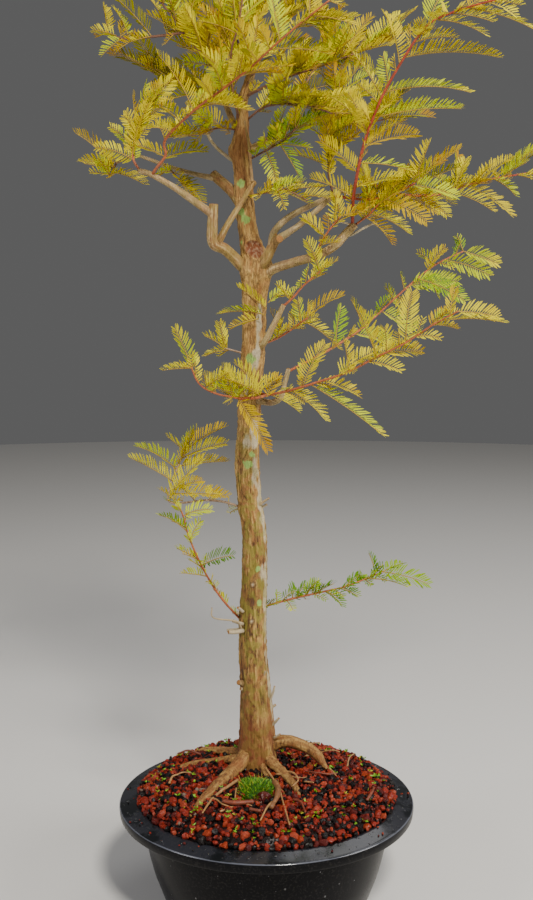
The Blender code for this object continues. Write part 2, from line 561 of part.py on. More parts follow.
def spray_blade(root, length, heading, rise, droop, roll, swell=0.0):
    """A toothed blade along a drooping rib: (vertices, faces) in millimetres.

    The rib is a three-sided bar. On each stretch its two lower faces are drawn out to
    a point, which leaves a tooth of needles on either side of the rib.
    """
    teeth = LONG_TEETH if length > LONG_SPRAY else SHORT_TEETH
    reach = min(NEEDLE, NEEDLE_SHARE * length)
    across = Vector((-math.sin(math.radians(heading)), math.cos(math.radians(heading)), 0.0))
    vertices, faces, place = [], [(0, 1, 2)], Vector(root)
    for i in range(teeth + 1):
        t = i / teeth
        ahead = direction(heading, rise + droop * (0.5 - t))
        side = across * math.cos(roll) + across.cross(ahead) * math.sin(roll)
        normal = ahead.cross(side)
        half = (RIB_HALF if i else ROOT_HALF) * (1 - 0.55 * t) + swell
        thick = RIB_THICK * (1 - 0.25 * t) / 2 + swell
        vertices += [place - side * half + normal * thick, place + side * half + normal * thick,
                     place - normal * thick]
        if i < teeth:
            draw = reach * width_at(t + 0.5 / teeth)
            middle = place + ahead * (length / teeth / 2 + draw * math.cos(NEEDLE_LEAN))
            spread = side * (draw * math.sin(NEEDLE_LEAN) + swell)
            raised = normal * NEEDLE_RAISE * draw
            teeth_here = (middle - spread + raised, middle + spread + raised)
            place = place + ahead * (length / teeth)
            a, b = 5 * i, 5 * i + 5
            vertices += teeth_here
            faces.append((a, b, b + 1, a + 1))
            for tip, ring in ((a + 3, (a, a + 2, b + 2, b)), (a + 4, (a + 2, a + 1, b + 1, b + 2))):
                faces += [(ring[k], ring[(k + 1) % 4], tip) for k in range(4)]
    last = 5 * teeth
    faces.append((last + 2, last + 1, last))
    return vertices, faces


def stem_sprays(points, sprays, dice):
    """The sprays of one stem: (place on the stem, length, heading, rise) for each."""
    if not isinstance(sprays, Rule):
        for distance, length, heading, rise in sprays:
            yield along(points, distance)[0], length, heading, rise
        return
    total = sum((b - a).length for a, b in zip(points, points[1:]))
    distance, side = sprays.first, 1
    while distance < total:
        place, ahead = along(points, distance)
        heading = math.degrees(math.atan2(ahead.y, ahead.x)) + side * dice.uniform(38, 82)
        rise = math.degrees(math.asin(ahead.z)) * 0.4 + dice.uniform(-26, 34)
        yield place, sprays.length * dice.uniform(0.85, 1.2), heading, rise
        distance += sprays.spacing / 2 * dice.uniform(0.8, 1.2)
        side = -side
    place, ahead = along(points, total)
    heading, rise = math.degrees(math.atan2(ahead.y, ahead.x)), math.degrees(math.asin(ahead.z))
    for k in range(sprays.ends):
        yield place, sprays.length, heading + (k - (sprays.ends - 1) / 2) * 50, rise - 10 * k


def mass_sprays(branches, dice):
    """Every spray of a mass, those of its stem first and then those of its side twigs."""
    for points, sprays in branches:
        yield from stem_sprays(points, sprays, dice)


def make_mass(number, name, branches, taken):
    """Fuse the sprays to their stem, leaving out any that would touch a limb or another mass."""
    stem = bpy.data.objects[name]
    sprays = mass_sprays(branches, random.Random(number))
    group = collection(name + "_sprays")
    for i, (root, length, heading, rise) in enumerate(sprays):
        dice = random.Random(SEEDS * number + i)
        droop, roll = dice.uniform(*DROOP), math.radians(dice.uniform(*ROLL))
        for attempt in range(SPRAY_TRIES):
            shape = (root, length, heading, rise, droop, roll)
            trial = BVHTree.FromPolygons(*spray_blade(*shape, swell=GAP))
            if not any(owner != name and trial.overlap(tree) for owner, tree in taken):
                vertices, faces = spray_blade(*shape)
                mesh = bpy.data.meshes.new(f"{name}_{i}")
                mesh.from_pydata([v * MM for v in vertices], [], faces)
                add_object(outward(mesh), f"{name}_{i}", group)
                break
            heading += dice.choice((-TRY_TURN, TRY_TURN))
            rise += dice.choice((-TRY_RISE, TRY_RISE))
            length *= TRY_LENGTH
        else:
            continue
        taken.append((name, BVHTree.FromPolygons(vertices, faces)))
    boolean(stem, "UNION", group, "MANIFOLD")
    apply_modifiers(stem)
    remove_collection(group)
    drop_scraps(stem.data)
    set_finish(stem, NEEDLES)


def drop_scraps(mesh):
    """Keep only the largest of the mesh's separate bodies."""
    shell = bmesh.new()
    shell.from_mesh(mesh)
    unseen, bodies = set(shell.verts), []
    while unseen:
        body, edge_of_body = set(), [unseen.pop()]
        while edge_of_body:
            vertex = edge_of_body.pop()
            body.add(vertex)
            fresh = {e.other_vert(vertex) for e in vertex.link_edges} & unseen
            unseen -= fresh
            edge_of_body.extend(fresh)
        bodies.append(body)
    largest = max(bodies, key=len)
    bmesh.ops.delete(shell, geom=[v for v in shell.verts if v not in largest], context="VERTS")
    shell.to_mesh(mesh)
    shell.free()


def scaled_tree(obj):
    """The object's faces in millimetres, for the touch test."""
    vertices = [v.co / MM for v in obj.data.vertices]
    return BVHTree.FromPolygons(vertices, [tuple(p.vertices) for p in obj.data.polygons])


def main():
    make_pot()
    above = make_soil()
    trunk = make_trunk(above)
    make_moss(above)
    taken = [("trunk", scaled_tree(trunk))]
    for name, start, runs, taper in LIMBS:
        taken.append((name, scaled_tree(make_limb(name, start, runs, taper))))
    section = three_sided_section()
    masses = []
    for name, start, runs, taper, sprays, *twigs in MASSES:
        points = walk(start, runs)
        stem = tube(name, points, tapered(points, taper), 0, PARTS, section)
        cut_clear(stem)
        branches = [(points, sprays)]
        twig_group = collection(name + "_twigs")
        for distance, twig_runs, twig_sprays in twigs:
            path = walk(along(points, distance)[0], twig_runs)
            tube(name + "_twig", path, tapered(path, (taper[1] + 0.2, taper[1])), 0, twig_group, section)
            branches.append((path, twig_sprays))
        if twigs:
            boolean(stem, "UNION", twig_group, "MANIFOLD")
            apply_modifiers(stem)
        remove_collection(twig_group)
        taken.append((name, scaled_tree(stem)))
        masses.append((name, branches))
    for number, (name, branches) in enumerate(masses):
        make_mass(number, name, branches, taken)


main()
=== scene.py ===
"""Looks of the bald cypress bonsai: bark, boughs, feathery sprays, lava grit and pot.

The tables and the growing rule are those of the solids, in millimetres. Every mass of
foliage is grown again by that rule and carried on to single needles.
"""
import math
import random
from collections import namedtuple

import bmesh
import bpy
import numpy as np
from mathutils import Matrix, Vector
from mathutils.bvhtree import BVHTree


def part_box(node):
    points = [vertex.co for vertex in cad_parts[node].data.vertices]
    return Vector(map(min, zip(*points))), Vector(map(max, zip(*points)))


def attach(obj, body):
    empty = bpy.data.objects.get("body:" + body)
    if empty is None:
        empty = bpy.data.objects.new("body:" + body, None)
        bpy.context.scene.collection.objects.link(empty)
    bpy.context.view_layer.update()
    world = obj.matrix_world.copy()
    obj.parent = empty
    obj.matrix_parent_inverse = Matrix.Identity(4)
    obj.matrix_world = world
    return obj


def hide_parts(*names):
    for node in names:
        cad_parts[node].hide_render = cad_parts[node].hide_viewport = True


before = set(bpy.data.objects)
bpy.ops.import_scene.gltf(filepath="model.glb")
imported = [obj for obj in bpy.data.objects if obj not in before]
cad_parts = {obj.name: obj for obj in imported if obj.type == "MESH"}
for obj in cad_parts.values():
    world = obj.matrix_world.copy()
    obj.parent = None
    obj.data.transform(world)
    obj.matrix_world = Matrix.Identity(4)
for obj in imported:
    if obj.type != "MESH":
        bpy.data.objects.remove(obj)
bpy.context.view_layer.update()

MM = 0.001     # metres
GAP = 0.3      # how far the rule swells a blade, so that masses stay apart

# Pot and soil, as the solids have them.
POT_HEIGHT = 105.0
RIM_RADIUS = 150.0
CREST_RADIUS = 133.0
FLANGE_FALL = 5.0
LIP_DEPTH = 9.0
EDGE_ROLL = 2.4
POT_WALL = 3.0
FOOT_RADIUS = 97.0
WALL_OUTLINE = ((100, 0.8), (106, 5), (110, 15), (116, 32), (121, 52), (125, 72), (128, 92), (131.5, 101))
DRAIN_HOLES = 4
DRAIN_RADIUS = 6.0
DRAIN_CIRCLE = 58.0
GROUND = 123.0
MOUND = ((0, GROUND), (32, GROUND), (62, GROUND - 0.5), (82, 121.5), (98, 119.5),
         (112, 116.5), (121, 112.5), (127.5, 106))
MOSS_PLACE = (-10, -40, GROUND - 2)
MOSS_SIZE = (19, 26, 11)
HEAP_HIGH = 1.9
HEAP_WIDE = 8.0

# Trunk: height, lean along X and radius; it stands a little behind the middle.
TRUNK_Y = 30.0
TRUNK = (
    (104, -11, 22.0), (122, -11, 21.2), (142, -10, 19.6), (175, -10, 17.2), (227, -13, 15.0),
    (275, -14, 14.0), (321, -12, 13.0), (368, -12, 12.3), (403, -17, 11.6), (444, -19, 11.6),
    (496, -17, 11.2), (551, -14, 11.4), (606, -12, 12.0), (638, -11, 15.0), (656, -14, 12.0),
    (674, -19, 9.6), (700, -22, 8.9), (726, -23, 8.2), (754, -26, 8.8), (778, -24, 6.2),
    (802, -23, 4.4), (829, -16, 2.5), (851, -12, 2.0),
)

# A run is (length, heading, rise): heading turns from +X to +Y, rise is up from level.
# Roots start in the trunk's foot and run over the mound: (start, runs, first and last radius).
ROOTS = (
    ((-18, 24, 139), ((24, -128, -24), (34, -118, -8), (36, -112, -4), (30, -114, -9)), (7.6, 4.2)),
    ((-20, 32, 130), ((26, 176, -8), (32, 184, -6), (26, 190, -14)), (4.6, 2.0)),
    ((-18, 38, 132), ((26, 140, -10), (30, 150, -8), (22, 166, -18)), (5.2, 2.4)),
    ((-4, 30, 141), ((22, -8, 22), (18, -14, -4), (20, -22, -22), (20, -48, -34)), (7.2, 5.0)),
    ((-2, 22, 136), ((22, -52, -16), (24, -62, -8), (26, -72, -6), (16, -84, -16)), (5.6, 3.2)),
    ((-6, 18, 130), ((26, -74, -9), (34, -66, -6), (30, -62, -10)), (3.0, 1.4)),
    ((-10, 40, 132), ((26, 78, -10), (30, 66, -8), (24, 54, -16)), (5.6, 2.4)),
)
# Short spurs and stubs on the trunk: height, heading, rise, length from the axis, radius.
SPURS = (
    (189, -10, 35, 25, 1.7), (171, -8, 30, 24, 1.5), (156, -20, 40, 25, 1.7), (400, -12, 35, 21, 1.8),
    (287, 182, 12, 22, 1.9), (268, 186, -4, 27, 2.0), (208, -150, 25, 19, 2.0),
)

# Limbs: name, start, runs, first and last radius. Each starts inside its parent and is cut clear.
LIMBS = (
    ("bough_left_low", (-11, 30, 634),
     ((15, -154, 23), (24, -154, 40), (15, -150, 25), (17, -104, 79), (20, -42, 85)), (6.2, 4.7)),
    ("branch_left_low", (-52, 5, 689), ((20, -173, 34), (25, -175, 34), (24, -175, 29), (13, -175, 18)),
     (3.7, 2.4)),
    ("branch_crossing", (-48, 11, 660), ((18, -20, 61), (23, -5, 58), (29, 4, 57)), (3.2, 2.6)),
    ("twig_crossing", (-14, 6, 720), ((32, 175, 85), (26, 165, 80)), (1.4, 1.0)),
    ("bough_left_high", (-21, 30, 696), ((22, 155, 50), (28, 158, 40)), (6.0, 4.8)),
    ("branch_left_high", (-52, 42, 727),
     ((20, 173, 12), (26, 178, 16), (23, -175, 19), (13, -167, 11), (20, -166, -20)), (2.4, 1.4)),
    ("twig_dead_left", (-25, 30, 738), ((16, -164, 30), (19, -164, 40), (24, -161, 59)), (1.7, 1.3)),
    ("bough_right_front", (-10, 30, 636), ((17, -56, 31), (15, -30, 58), (13, -20, 61)), (6.4, 4.0)),
    ("arm_upper", (5, 14, 659), ((15, 34, 76), (22, 18, 42), (31, 19, 26), (20, 19, 22)), (3.3, 2.6)),
    ("arm_lower", (9, 12, 664), ((28, -5, 33), (33, 4, 40), (12, 14, 40), (20, 13, 24), (19, 13, 13)),
     (3.5, 1.6)),
    ("bough_right_low", (-9, 30, 623),
     ((21, -30, 38), (26, -24, 17), (23, -21, 14), (20, -16, 28), (16, -5, 47), (12, 0, 45)), (4.8, 3.8)),
    ("stub_mid", (-12, 30, 556), ((14, -53, 23), (17, -37, 55), (30, -24, 61)), (3.2, 2.4)),
    ("hook_mid", (-16, 30, 508),
     ((17, -45, -7), (13, -39, -1), (10, -27, 31), (14, -27, 71), (15, 0, 75)), (3.6, 2.2)),
    ("bough_back_left", (-24, 30, 766), ((26, 125, 46), (30, 118, 50), (26, 122, 56)), (3.6, 2.2)),
    ("bough_back_right", (-25, 30, 744), ((26, 60, 30), (32, 45, 25), (30, 35, 30)), (4.2, 2.4)),
    ("bough_back_high", (-22, 30, 800), ((20, 70, 38), (26, 78, 50)), (2.6, 2.0)),
)

# Sprays that a mass's table gives: distance along the stem, length, heading, rise.
# Masses at the back are filled by the rule instead: where its first spray stands, the spacing of
# sprays on one side, their length, and how many stand at the stem's end.
Rule = namedtuple("Rule", "first spacing length ends")
MASSES = (
    ("sprays_low_right", (-5, 30, 292), ((32, 8, 14), (33, 11, 10), (27, 13, 10), (23, 16, 17),
      (19, 20, 18)), (1.5, 0.9),
     ((46, 23, 35, 30), (58, 27, -35, 28), (68, 25, -30, -40), (84, 25, -40, -15), (90, 24, 35, 20),
      (114, 46, -25, -10), (125, 24, 150, 65), (134, 52, 5, -20), (135, 32, 40, 5))),
    ("sprays_low_left", (-24, 30, 276), ((40, -146, 48), (38, -150, 58), (37, -148, 65), (25, -139, 72),
                                         (14, -150, 64)), (1.5, 0.9),
     ((68, 28, -155, 10), (82, 41, -30, 15), (90, 27, 155, 15), (112, 23, 45, 45), (121, 37, -155, 25),
      (139, 31, 30, 0), (152, 26, -155, 35))),
    ("sprays_mid_left", (-19, 30, 393), ((22, 161, 18), (24, 163, 4), (41, 166, -4), (32, 29, 75),
      (23, 33, 62)), (1.6, 0.9),
     ((95, 66, -20, 0), (108, 52, 170, 25), (121, 50, -155, 25), (125, 53, 20, 0),
      (134, 51, -15, 15), (142, 50, 15, 25), (142, 27, 150, 30), (99, 38, 35, 5))),
    ("sprays_front_right", (-6, 30, 513), ((29, -72, 2), (28, -40, 12), (31, -24, 17), (29, -21, 19),
      (34, -24, 27), (30, -26, 26), (31, -23, 33), (27, -25, 28)),
     (1.7, 0.9),
     ((48, 24, -25, -30), (57, 44, -10, -45), (70, 48, 25, 50), (78, 86, -15, -35),
      (91, 41, 20, -25), (108, 43, 30, 25), (119, 31, 115, 65), (140, 34, -25, -20),
      (150, 50, -155, 60), (159, 37, 15, 0), (182, 48, 45, 75), (192, 24, -20, -10),
      (212, 26, 20, -15), (220, 58, -10, -5), (238, 40, 10, -10), (230, 26, 40, 70))),
    ("sprays_front_left", (-21, 30, 506), ((28, -100, 8), (27, -158, 13), (19, -159, 31), (18, -166, 64)),
     (1.5, 0.9),
     ((31, 60, -25, -60), (36, 33, -115, 50), (54, 24, 150, 45), (67, 32, -25, 25), (91, 42, -170, 65),
      (91, 30, -155, -5))),
    ("sprays_mid_right", (22, 4, 537), ((21, 13, 26), (27, 15, 27), (34, 16, 31), (26, 17, 39),
      (43, 18, 40), (37, 19, 36), (34, 19, 24)), (1.6, 0.9),
     ((16, 27, -100, -55), (54, 39, 55, 70), (76, 42, 20, -20), (88, 32, 130, 55),
      (113, 38, 20, -40), (131, 18, 135, 45), (137, 22, -65, -60), (152, 53, 15, 0),
      (164, 53, -20, -30), (187, 22, 160, 30), (199, 48, -15, -25), (222, 17, 180, 65),
      (222, 40, 10, -20), (175, 32, 45, -50))),
    ("sprays_mid_small", (17, 8, 601), ((12, -15, 40), (16, -21, 47), (22, -14, 40)), (1.3, 0.9),
     ((8, 21, -155, 40), (14, 20, 150, -5), (49, 33, -160, 60), (49, 22, -30, 25), (33, 21, 30, 20))),
    ("sprays_mid_inner", (-5, 24, 562), ((24, 20, 22), (32, -20, 34)), (1.4, 0.9),
     ((24, 31, 165, 45), (55, 43, -10, 25), (50, 56, 5, -20), (55, 18, 70, 65), (40, 31, 40, 10))),
    ("sprays_trunk_side", (-19, 30, 552), ((26, -160, 16),), (1.3, 1.0),
     ((19, 27, -165, -20), (25, 27, -130, 70), (25, 27, 150, 20))),
    ("sprays_left_sweep", (-110, -1, 726), ((10, -54, 33), (16, -33, 46), (16, -84, 60), (40, -33, 35),
      (34, -32, 27), (37, -30, 29), (29, -30, 34), (29, -29, 32), (33, -29, 30)), (1.7, 0.9),
     ((20, 46, 25, 5), (24, 30, -150, 12), (38, 24, -165, 55), (44, 42, 15, 4),
      (56, 42, 30, 30), (82, 63, 165, 52), (96, 44, -20, -14), (120, 52, 105, 58),
      (140, 50, -15, 0), (152, 50, 70, 62), (176, 54, 0, -8), (188, 50, 110, 56),
      (208, 54, 5, 6), (222, 46, 80, 66), (243, 48, 0, 40))),
    ("sprays_left_fan", (-121, -2, 729), ((15, 164, 60), (20, 56, 76), (21, 28, 66), (16, 28, 58)),
     (1.4, 0.9),
     ((12, 40, 175, 12), (20, 36, 160, 40), (30, 52, 100, 62), (44, 46, 60, 70), (52, 36, 20, 30),
      (66, 40, 30, 45), (36, 26, -120, 40))),
    ("sprays_left_tip", (-148, 36, 742), ((10, 155, -58), (9, -120, -50)), (1.2, 0.9),
     ((9, 52, 178, 36), (11, 42, -32, -24), (16, 24, -120, 30), (18, 24, 160, 46))),
    ("sprays_left_droop", (-98, 46, 738), ((12, -60, -30), (14, -38, -44)), (1.2, 0.9),
     ((20, 36, -20, -50), (25, 34, -62, -38), (12, 26, -120, -10))),
    ("sprays_upper_left", (-24, 30, 800), ((49, -159, 46), (22, -152, 40), (14, -153, 51), (24, -158, 48),
      (16, -158, 48), (19, -159, 54)), (1.8, 0.9),
     ((26, 46, -60, 10), (38, 52, -175, 26), (56, 56, -110, 34), (70, 52, -175, 28),
      (84, 46, 60, 56), (94, 50, -130, 56), (104, 44, 100, 36), (116, 46, -20, 50),
      (128, 40, 170, 40), (136, 44, -165, 66)),
     (84, ((24, 164, -4), (39, 162, 0), (22, 157, 21)),
      ((18, 48, 130, 46), (34, 52, 165, 44), (44, 30, -150, -36), (58, 34, 150, 52), (64, 26, -165, -44),
       (82, 30, 120, 62), (72, 24, -150, 4)))),
    ("sprays_upright_left", (-25, 30, 775), ((40, -112, 58), (32, -93, 72), (20, -57, 62), (20, -53, 68),
      (29, -60, 76)),
     (1.6, 0.9),
     ((44, 46, -130, 26), (58, 50, 20, 20), (70, 52, -150, 44), (82, 46, 0, 40), (94, 48, -100, 40),
      (104, 46, 120, 36), (116, 42, -60, 54), (126, 40, 60, 66))),
    ("sprays_top_right", (-20, 30, 804), ((36, -12, 24), (37, -3, 17), (37, 3, 20), (37, 10, 22)),
     (1.7, 0.9),
     ((32, 52, 10, 44), (42, 48, -50, -4), (54, 52, 40, 30), (66, 54, -30, 24), (78, 50, 25, -8),
      (90, 50, -70, 30), (100, 54, 30, 50), (114, 46, -45, 0), (126, 50, 20, 40), (144, 48, -15, 6))),
    ("sprays_leader", (-12, 31, 851), ((26, -22, 82), (26, -145, 80), (20, -100, 78)), (1.7, 0.9),
     ((12, 50, -20, 24), (20, 52, 150, 30), (30, 50, 60, 36), (38, 50, -100, 36), (48, 46, 10, 50),
      (58, 46, 170, 52), (62, 40, -60, 56), (70, 38, 90, 60))),
    ("sprays_right_fan", (83, -2, 676), ((29, -92, 64), (22, -80, 56), (23, -75, 58), (24, -61, 61),
      (34, -51, 58), (39, -38, 54), (32, -34, 48), (24, -27, 21), (35, -24, 11), (31, -23, 7)), (2.0, 0.9),
     ((30, 44, 170, 20), (42, 50, 10, 4), (56, 46, -170, 34), (66, 52, 0, -14),
      (82, 56, 15, 10), (98, 48, 170, 34), (110, 80, -5, 2), (124, 28, 160, 40),
      (130, 55, 150, 52), (135, 78, -8, -6), (162, 56, 120, 58), (170, 86, 5, -4),
      (186, 35, -10, -2), (204, 44, 40, 50), (214, 44, -15, -28), (226, 38, -15, -20),
      (240, 40, 30, 30), (258, 28, -10, -34), (270, 42, 5, 24), (290, 36, -10, 22))),
    ("sprays_right_long", (102, 22, 720), ((29, 21, -17), (21, 22, -5), (23, 20, 3), (25, 25, 16),
      (24, 20, 16), (27, 23, 13), (42, 20, 10), (33, 18, 13)),
     (1.9, 0.9),
     ((12, 66, -30, -26), (26, 40, -30, 36), (43, 58, 5, 24), (58, 36, -35, -42),
      (70, 62, 15, 10), (86, 52, -20, -30), (98, 44, 60, 44), (110, 56, -10, -36),
      (125, 50, 30, 30), (144, 30, -30, -44), (158, 44, 15, 34), (180, 40, -25, -20),
      (202, 40, 30, 26), (221, 38, -10, 4))),
    ("sprays_right_red", (66, 14, 707), ((36, -38, -8), (24, -16, 7), (27, -14, 25)), (1.8, 0.9),
     ((40, 50, -130, 4), (50, 56, -30, -30), (60, 48, 20, 46), (70, 54, -25, 26), (82, 50, 20, -16),
      (93, 52, -10, 34), (94, 40, -50, 60))),
    ("sprays_right_inner", (67, 36, 708), ((26, -157, 76), (30, -65, 80), (22, -55, 77), (22, -42, 74)),
     (1.5, 0.9),
     ((30, 40, 175, 14), (40, 52, 10, 30), (52, 44, 160, 26), (62, 56, -20, 18), (74, 46, -165, 36),
      (84, 52, 20, 24), (96, 44, 170, 44), (97, 46, 0, 50))),
    ("sprays_right_low", (85, -2, 678), ((18, -31, 32), (15, -44, 39)), (1.3, 0.9),
     ((14, 36, -5, -52), (20, 42, -20, -34), (30, 34, -40, 20), (33, 36, 10, 12))),
    ("sprays_centre_low", (-20, 28, 708), ((34, -50, 3), (18, -33, 6), (26, -19, -25)), (1.3, 0.9),
     ((36, 34, -10, 12), (44, 28, -70, -50), (54, 40, 15, 4), (70, 30, -30, -10))),
    ("sprays_centre_orange", (50, 2, 648), ((15, -81, 50), (17, -36, 52), (17, -17, 49)), (1.3, 0.9),
     ((24, 30, -150, 30), (34, 34, 10, 34), (48, 26, -120, 50), (50, 26, -10, 10))),
    ("sprays_trunk_right", (-19, 30, 782), ((28, -42, 21), (35, -20, 0), (32, -15, -18)), (1.4, 0.9),
     ((28, 60, -20, 4), (36, 50, -70, 30), (52, 56, 25, 22), (64, 50, -35, -14), (76, 50, 10, 16),
      (92, 44, -15, -12))),
    ("sprays_trunk_left", (-27, 30, 772), ((26, -135, -1), (19, -147, -18), (15, -165, -14)), (1.3, 0.9),
     ((22, 40, -170, 22), (34, 38, -110, 12), (46, 34, 160, 6), (58, 30, -160, 10))),
    ("sprays_centre_green", (-20, 30, 742), ((26, -38, 19), (22, -30, 22), (20, -24, 44)), (1.3, 0.9),
     ((26, 36, -60, -62), (32, 44, -10, 22), (42, 36, -20, -60), (54, 48, 10, 20), (66, 44, -45, 30))),
    ("sprays_back_left", (-42, 59, 803), ((30, 150, 24), (32, 160, 20), (26, 170, 26)), (1.6, 0.9),
     Rule(12, 38, 46, 2)),
    ("sprays_back_left_top", (-51, 73, 829), ((32, 106, 60), (32, 118, 54), (24, 130, 60)), (1.6, 0.9),
     Rule(12, 38, 46, 2)),
    ("sprays_back_right", (17, 77, 780), ((36, 12, 8), (38, 18, 2), (36, 12, 10)), (1.6, 0.9),
     Rule(14, 34, 52, 3)),
    ("sprays_back_right_top", (28, 84, 788), ((36, 66, 58), (36, 50, 52), (30, 40, 58)), (1.6, 0.9),
     Rule(16, 38, 46, 2)),
    ("sprays_back_high", (-13, 55, 831), ((30, 44, 58), (32, 34, 48), (28, 24, 54)), (1.6, 0.9),
     Rule(12, 38, 46, 2)),
    ("sprays_back_high_left", (-14, 54, 829), ((30, 140, 60), (32, 136, 60), (24, 150, 64)), (1.5, 0.9),
     Rule(12, 38, 46, 2)),
)

# ---------------------------------------------------------------- growing rule

# The solids' blades: how far they reach and lean, their ribs' half widths, thickness and taper.
NEEDLE = 11.0
NEEDLE_SHARE = 0.27
NEEDLE_LEAN = math.radians(56)
NEEDLE_RAISE = 0.22
ROOT_HALF = 0.9
RIB_HALF = 1.6
RIB_THICK = 1.1
RIB_TAPER = 0.55
THICK_TAPER = 0.25
LONG_SPRAY = 53.0
LONG_TEETH = 3
SHORT_TEETH = 2
DROOP = (8, 34)
ROLL = (-62, -6)
# How a spray that would touch another mass tries again.
SPRAY_TRIES = 4
TRY_TURN = 14
TRY_RISE = 12
TRY_LENGTH = 0.9
SEEDS = 100
# How the sprays of a Rule stand off their stem, and those at its end.
SIDE_TURN, SIDE_RISE, SIDE_RISE_KEPT = (38, 82), (-26, 34), 0.4
SIDE_LENGTHS, SIDE_SPACINGS = (0.85, 1.2), (0.8, 1.2)
END_TURN, END_DROP = 50, 10


def direction(heading, rise):
    """Unit vector from a heading and a rise in degrees."""
    turn, lift = math.radians(heading), math.radians(rise)
    return Vector((math.cos(turn) * math.cos(lift), math.sin(turn) * math.cos(lift), math.sin(lift)))


def bearing(way):
    """The heading and rise of a unit vector, in degrees."""
    return math.degrees(math.atan2(way.y, way.x)), math.degrees(math.asin(way.z))


def walk(start, runs):
    """The points that a chain of runs passes, in millimetres."""
    points = [Vector(start)]
    for length, heading, rise in runs:
        points.append(points[-1] + length * direction(heading, rise))
    return points


def path_length(points):
    """How long a path is."""
    return sum((b - a).length for a, b in zip(points, points[1:]))


def tapered(points, radii):
    """A radius for each point, even along the length between the first and last."""
    travelled = [0.0]
    for a, b in zip(points, points[1:]):
        travelled.append(travelled[-1] + (b - a).length)
    return [radii[0] + (radii[1] - radii[0]) * t / travelled[-1] for t in travelled]


def along(points, distance):
    """The point at a distance along a path, and the direction there."""
    for a, b in zip(points, points[1:]):
        step = (b - a).length
        if distance <= step:
            return a + (b - a) * (distance / step), (b - a) / step
        distance -= step
    return points[-1], (points[-1] - points[-2]).normalized()


def width_at(t):
    """How far the needles reach at a fraction of a spray's length, against the longest."""
    return 0.62 + 0.38 * np.sin(np.pi * np.minimum(1.0, t * 1.15)) - 0.34 * t ** 3


def spray_blade(root, length, heading, rise, droop, roll):
    """The swollen blade that the rule tests a spray by: (vertices, faces)."""
    teeth = LONG_TEETH if length > LONG_SPRAY else SHORT_TEETH
    reach = min(NEEDLE, NEEDLE_SHARE * length)
    across = direction(heading + 90, 0)
    vertices, faces, place = [], [(0, 1, 2)], Vector(root)
    for i in range(teeth + 1):
        t = i / teeth
        ahead = direction(heading, rise + droop * (0.5 - t))
        side = across * math.cos(roll) + across.cross(ahead) * math.sin(roll)
        normal = ahead.cross(side)
        half = (RIB_HALF if i else ROOT_HALF) * (1 - RIB_TAPER * t) + GAP
        thick = RIB_THICK * (1 - THICK_TAPER * t) / 2 + GAP
        vertices += [place - side * half + normal * thick, place + side * half + normal * thick,
                     place - normal * thick]
        if i < teeth:
            draw = reach * float(width_at(t + 0.5 / teeth))
            middle = place + ahead * (length / teeth / 2 + draw * math.cos(NEEDLE_LEAN))
            spread = side * (draw * math.sin(NEEDLE_LEAN) + GAP)
            raised = normal * NEEDLE_RAISE * draw
            vertices += [middle - spread + raised, middle + spread + raised]
            place = place + ahead * (length / teeth)
            a, b = 5 * i, 5 * i + 5
            faces.append((a, b, b + 1, a + 1))
            for tip, ring in ((a + 3, (a, a + 2, b + 2, b)), (a + 4, (a + 2, a + 1, b + 1, b + 2))):
                faces += [(ring[k], ring[(k + 1) % 4], tip) for k in range(4)]
    return vertices, faces


def droop_and_roll(dice):
    """How a spray bends down (degrees) and how far it is turned about its rib (radians)."""
    return dice.uniform(*DROOP), math.radians(dice.uniform(*ROLL))


def stem_sprays(points, sprays, dice):
    """The sprays of one stem: (place on the stem, length, heading, rise) for each."""
    if not isinstance(sprays, Rule):
        for distance, length, heading, rise in sprays:
            yield along(points, distance)[0], length, heading, rise
        return
    total = path_length(points)
    distance, side = sprays.first, 1
    while distance < total:
        place, ahead = along(points, distance)
        heading, rise = bearing(ahead)
        heading += side * dice.uniform(*SIDE_TURN)
        rise = rise * SIDE_RISE_KEPT + dice.uniform(*SIDE_RISE)
        yield place, sprays.length * dice.uniform(*SIDE_LENGTHS), heading, rise
        distance += sprays.spacing / 2 * dice.uniform(*SIDE_SPACINGS)
        side = -side
    place, ahead = along(points, total)
    heading, rise = bearing(ahead)
    for k in range(sprays.ends):
        yield place, sprays.length, heading + (k - (sprays.ends - 1) / 2) * END_TURN, rise - END_DROP * k


def grown_sprays(number, name, branches, taken):
    """The sprays that the mass's solid has: (root, length, heading, rise, droop, roll)."""
    plan = random.Random(number)
    rows = [row for points, sprays in branches for row in stem_sprays(points, sprays, plan)]
    kept = []
    for i, (root, length, heading, rise) in enumerate(rows):
        dice = random.Random(SEEDS * number + i)
        droop, roll = droop_and_roll(dice)
        for _ in range(SPRAY_TRIES):
            shape = (root, length, heading, rise, droop, roll)
            tree = BVHTree.FromPolygons(*spray_blade(*shape))
            if not any(owner != name and tree.overlap(other) for owner, other in taken):
                kept.append(shape)
                taken.append((name, tree))
                break
            heading += dice.choice((-TRY_TURN, TRY_TURN))
            rise += dice.choice((-TRY_RISE, TRY_RISE))
            length *= TRY_LENGTH
    return kept


# ---------------------------------------------------------------- mesh tools

HASH_STEPS = (73856093, 19349663, 83492791)
SEED_STEP = 2654435761
HASH_MIX = 1274126177


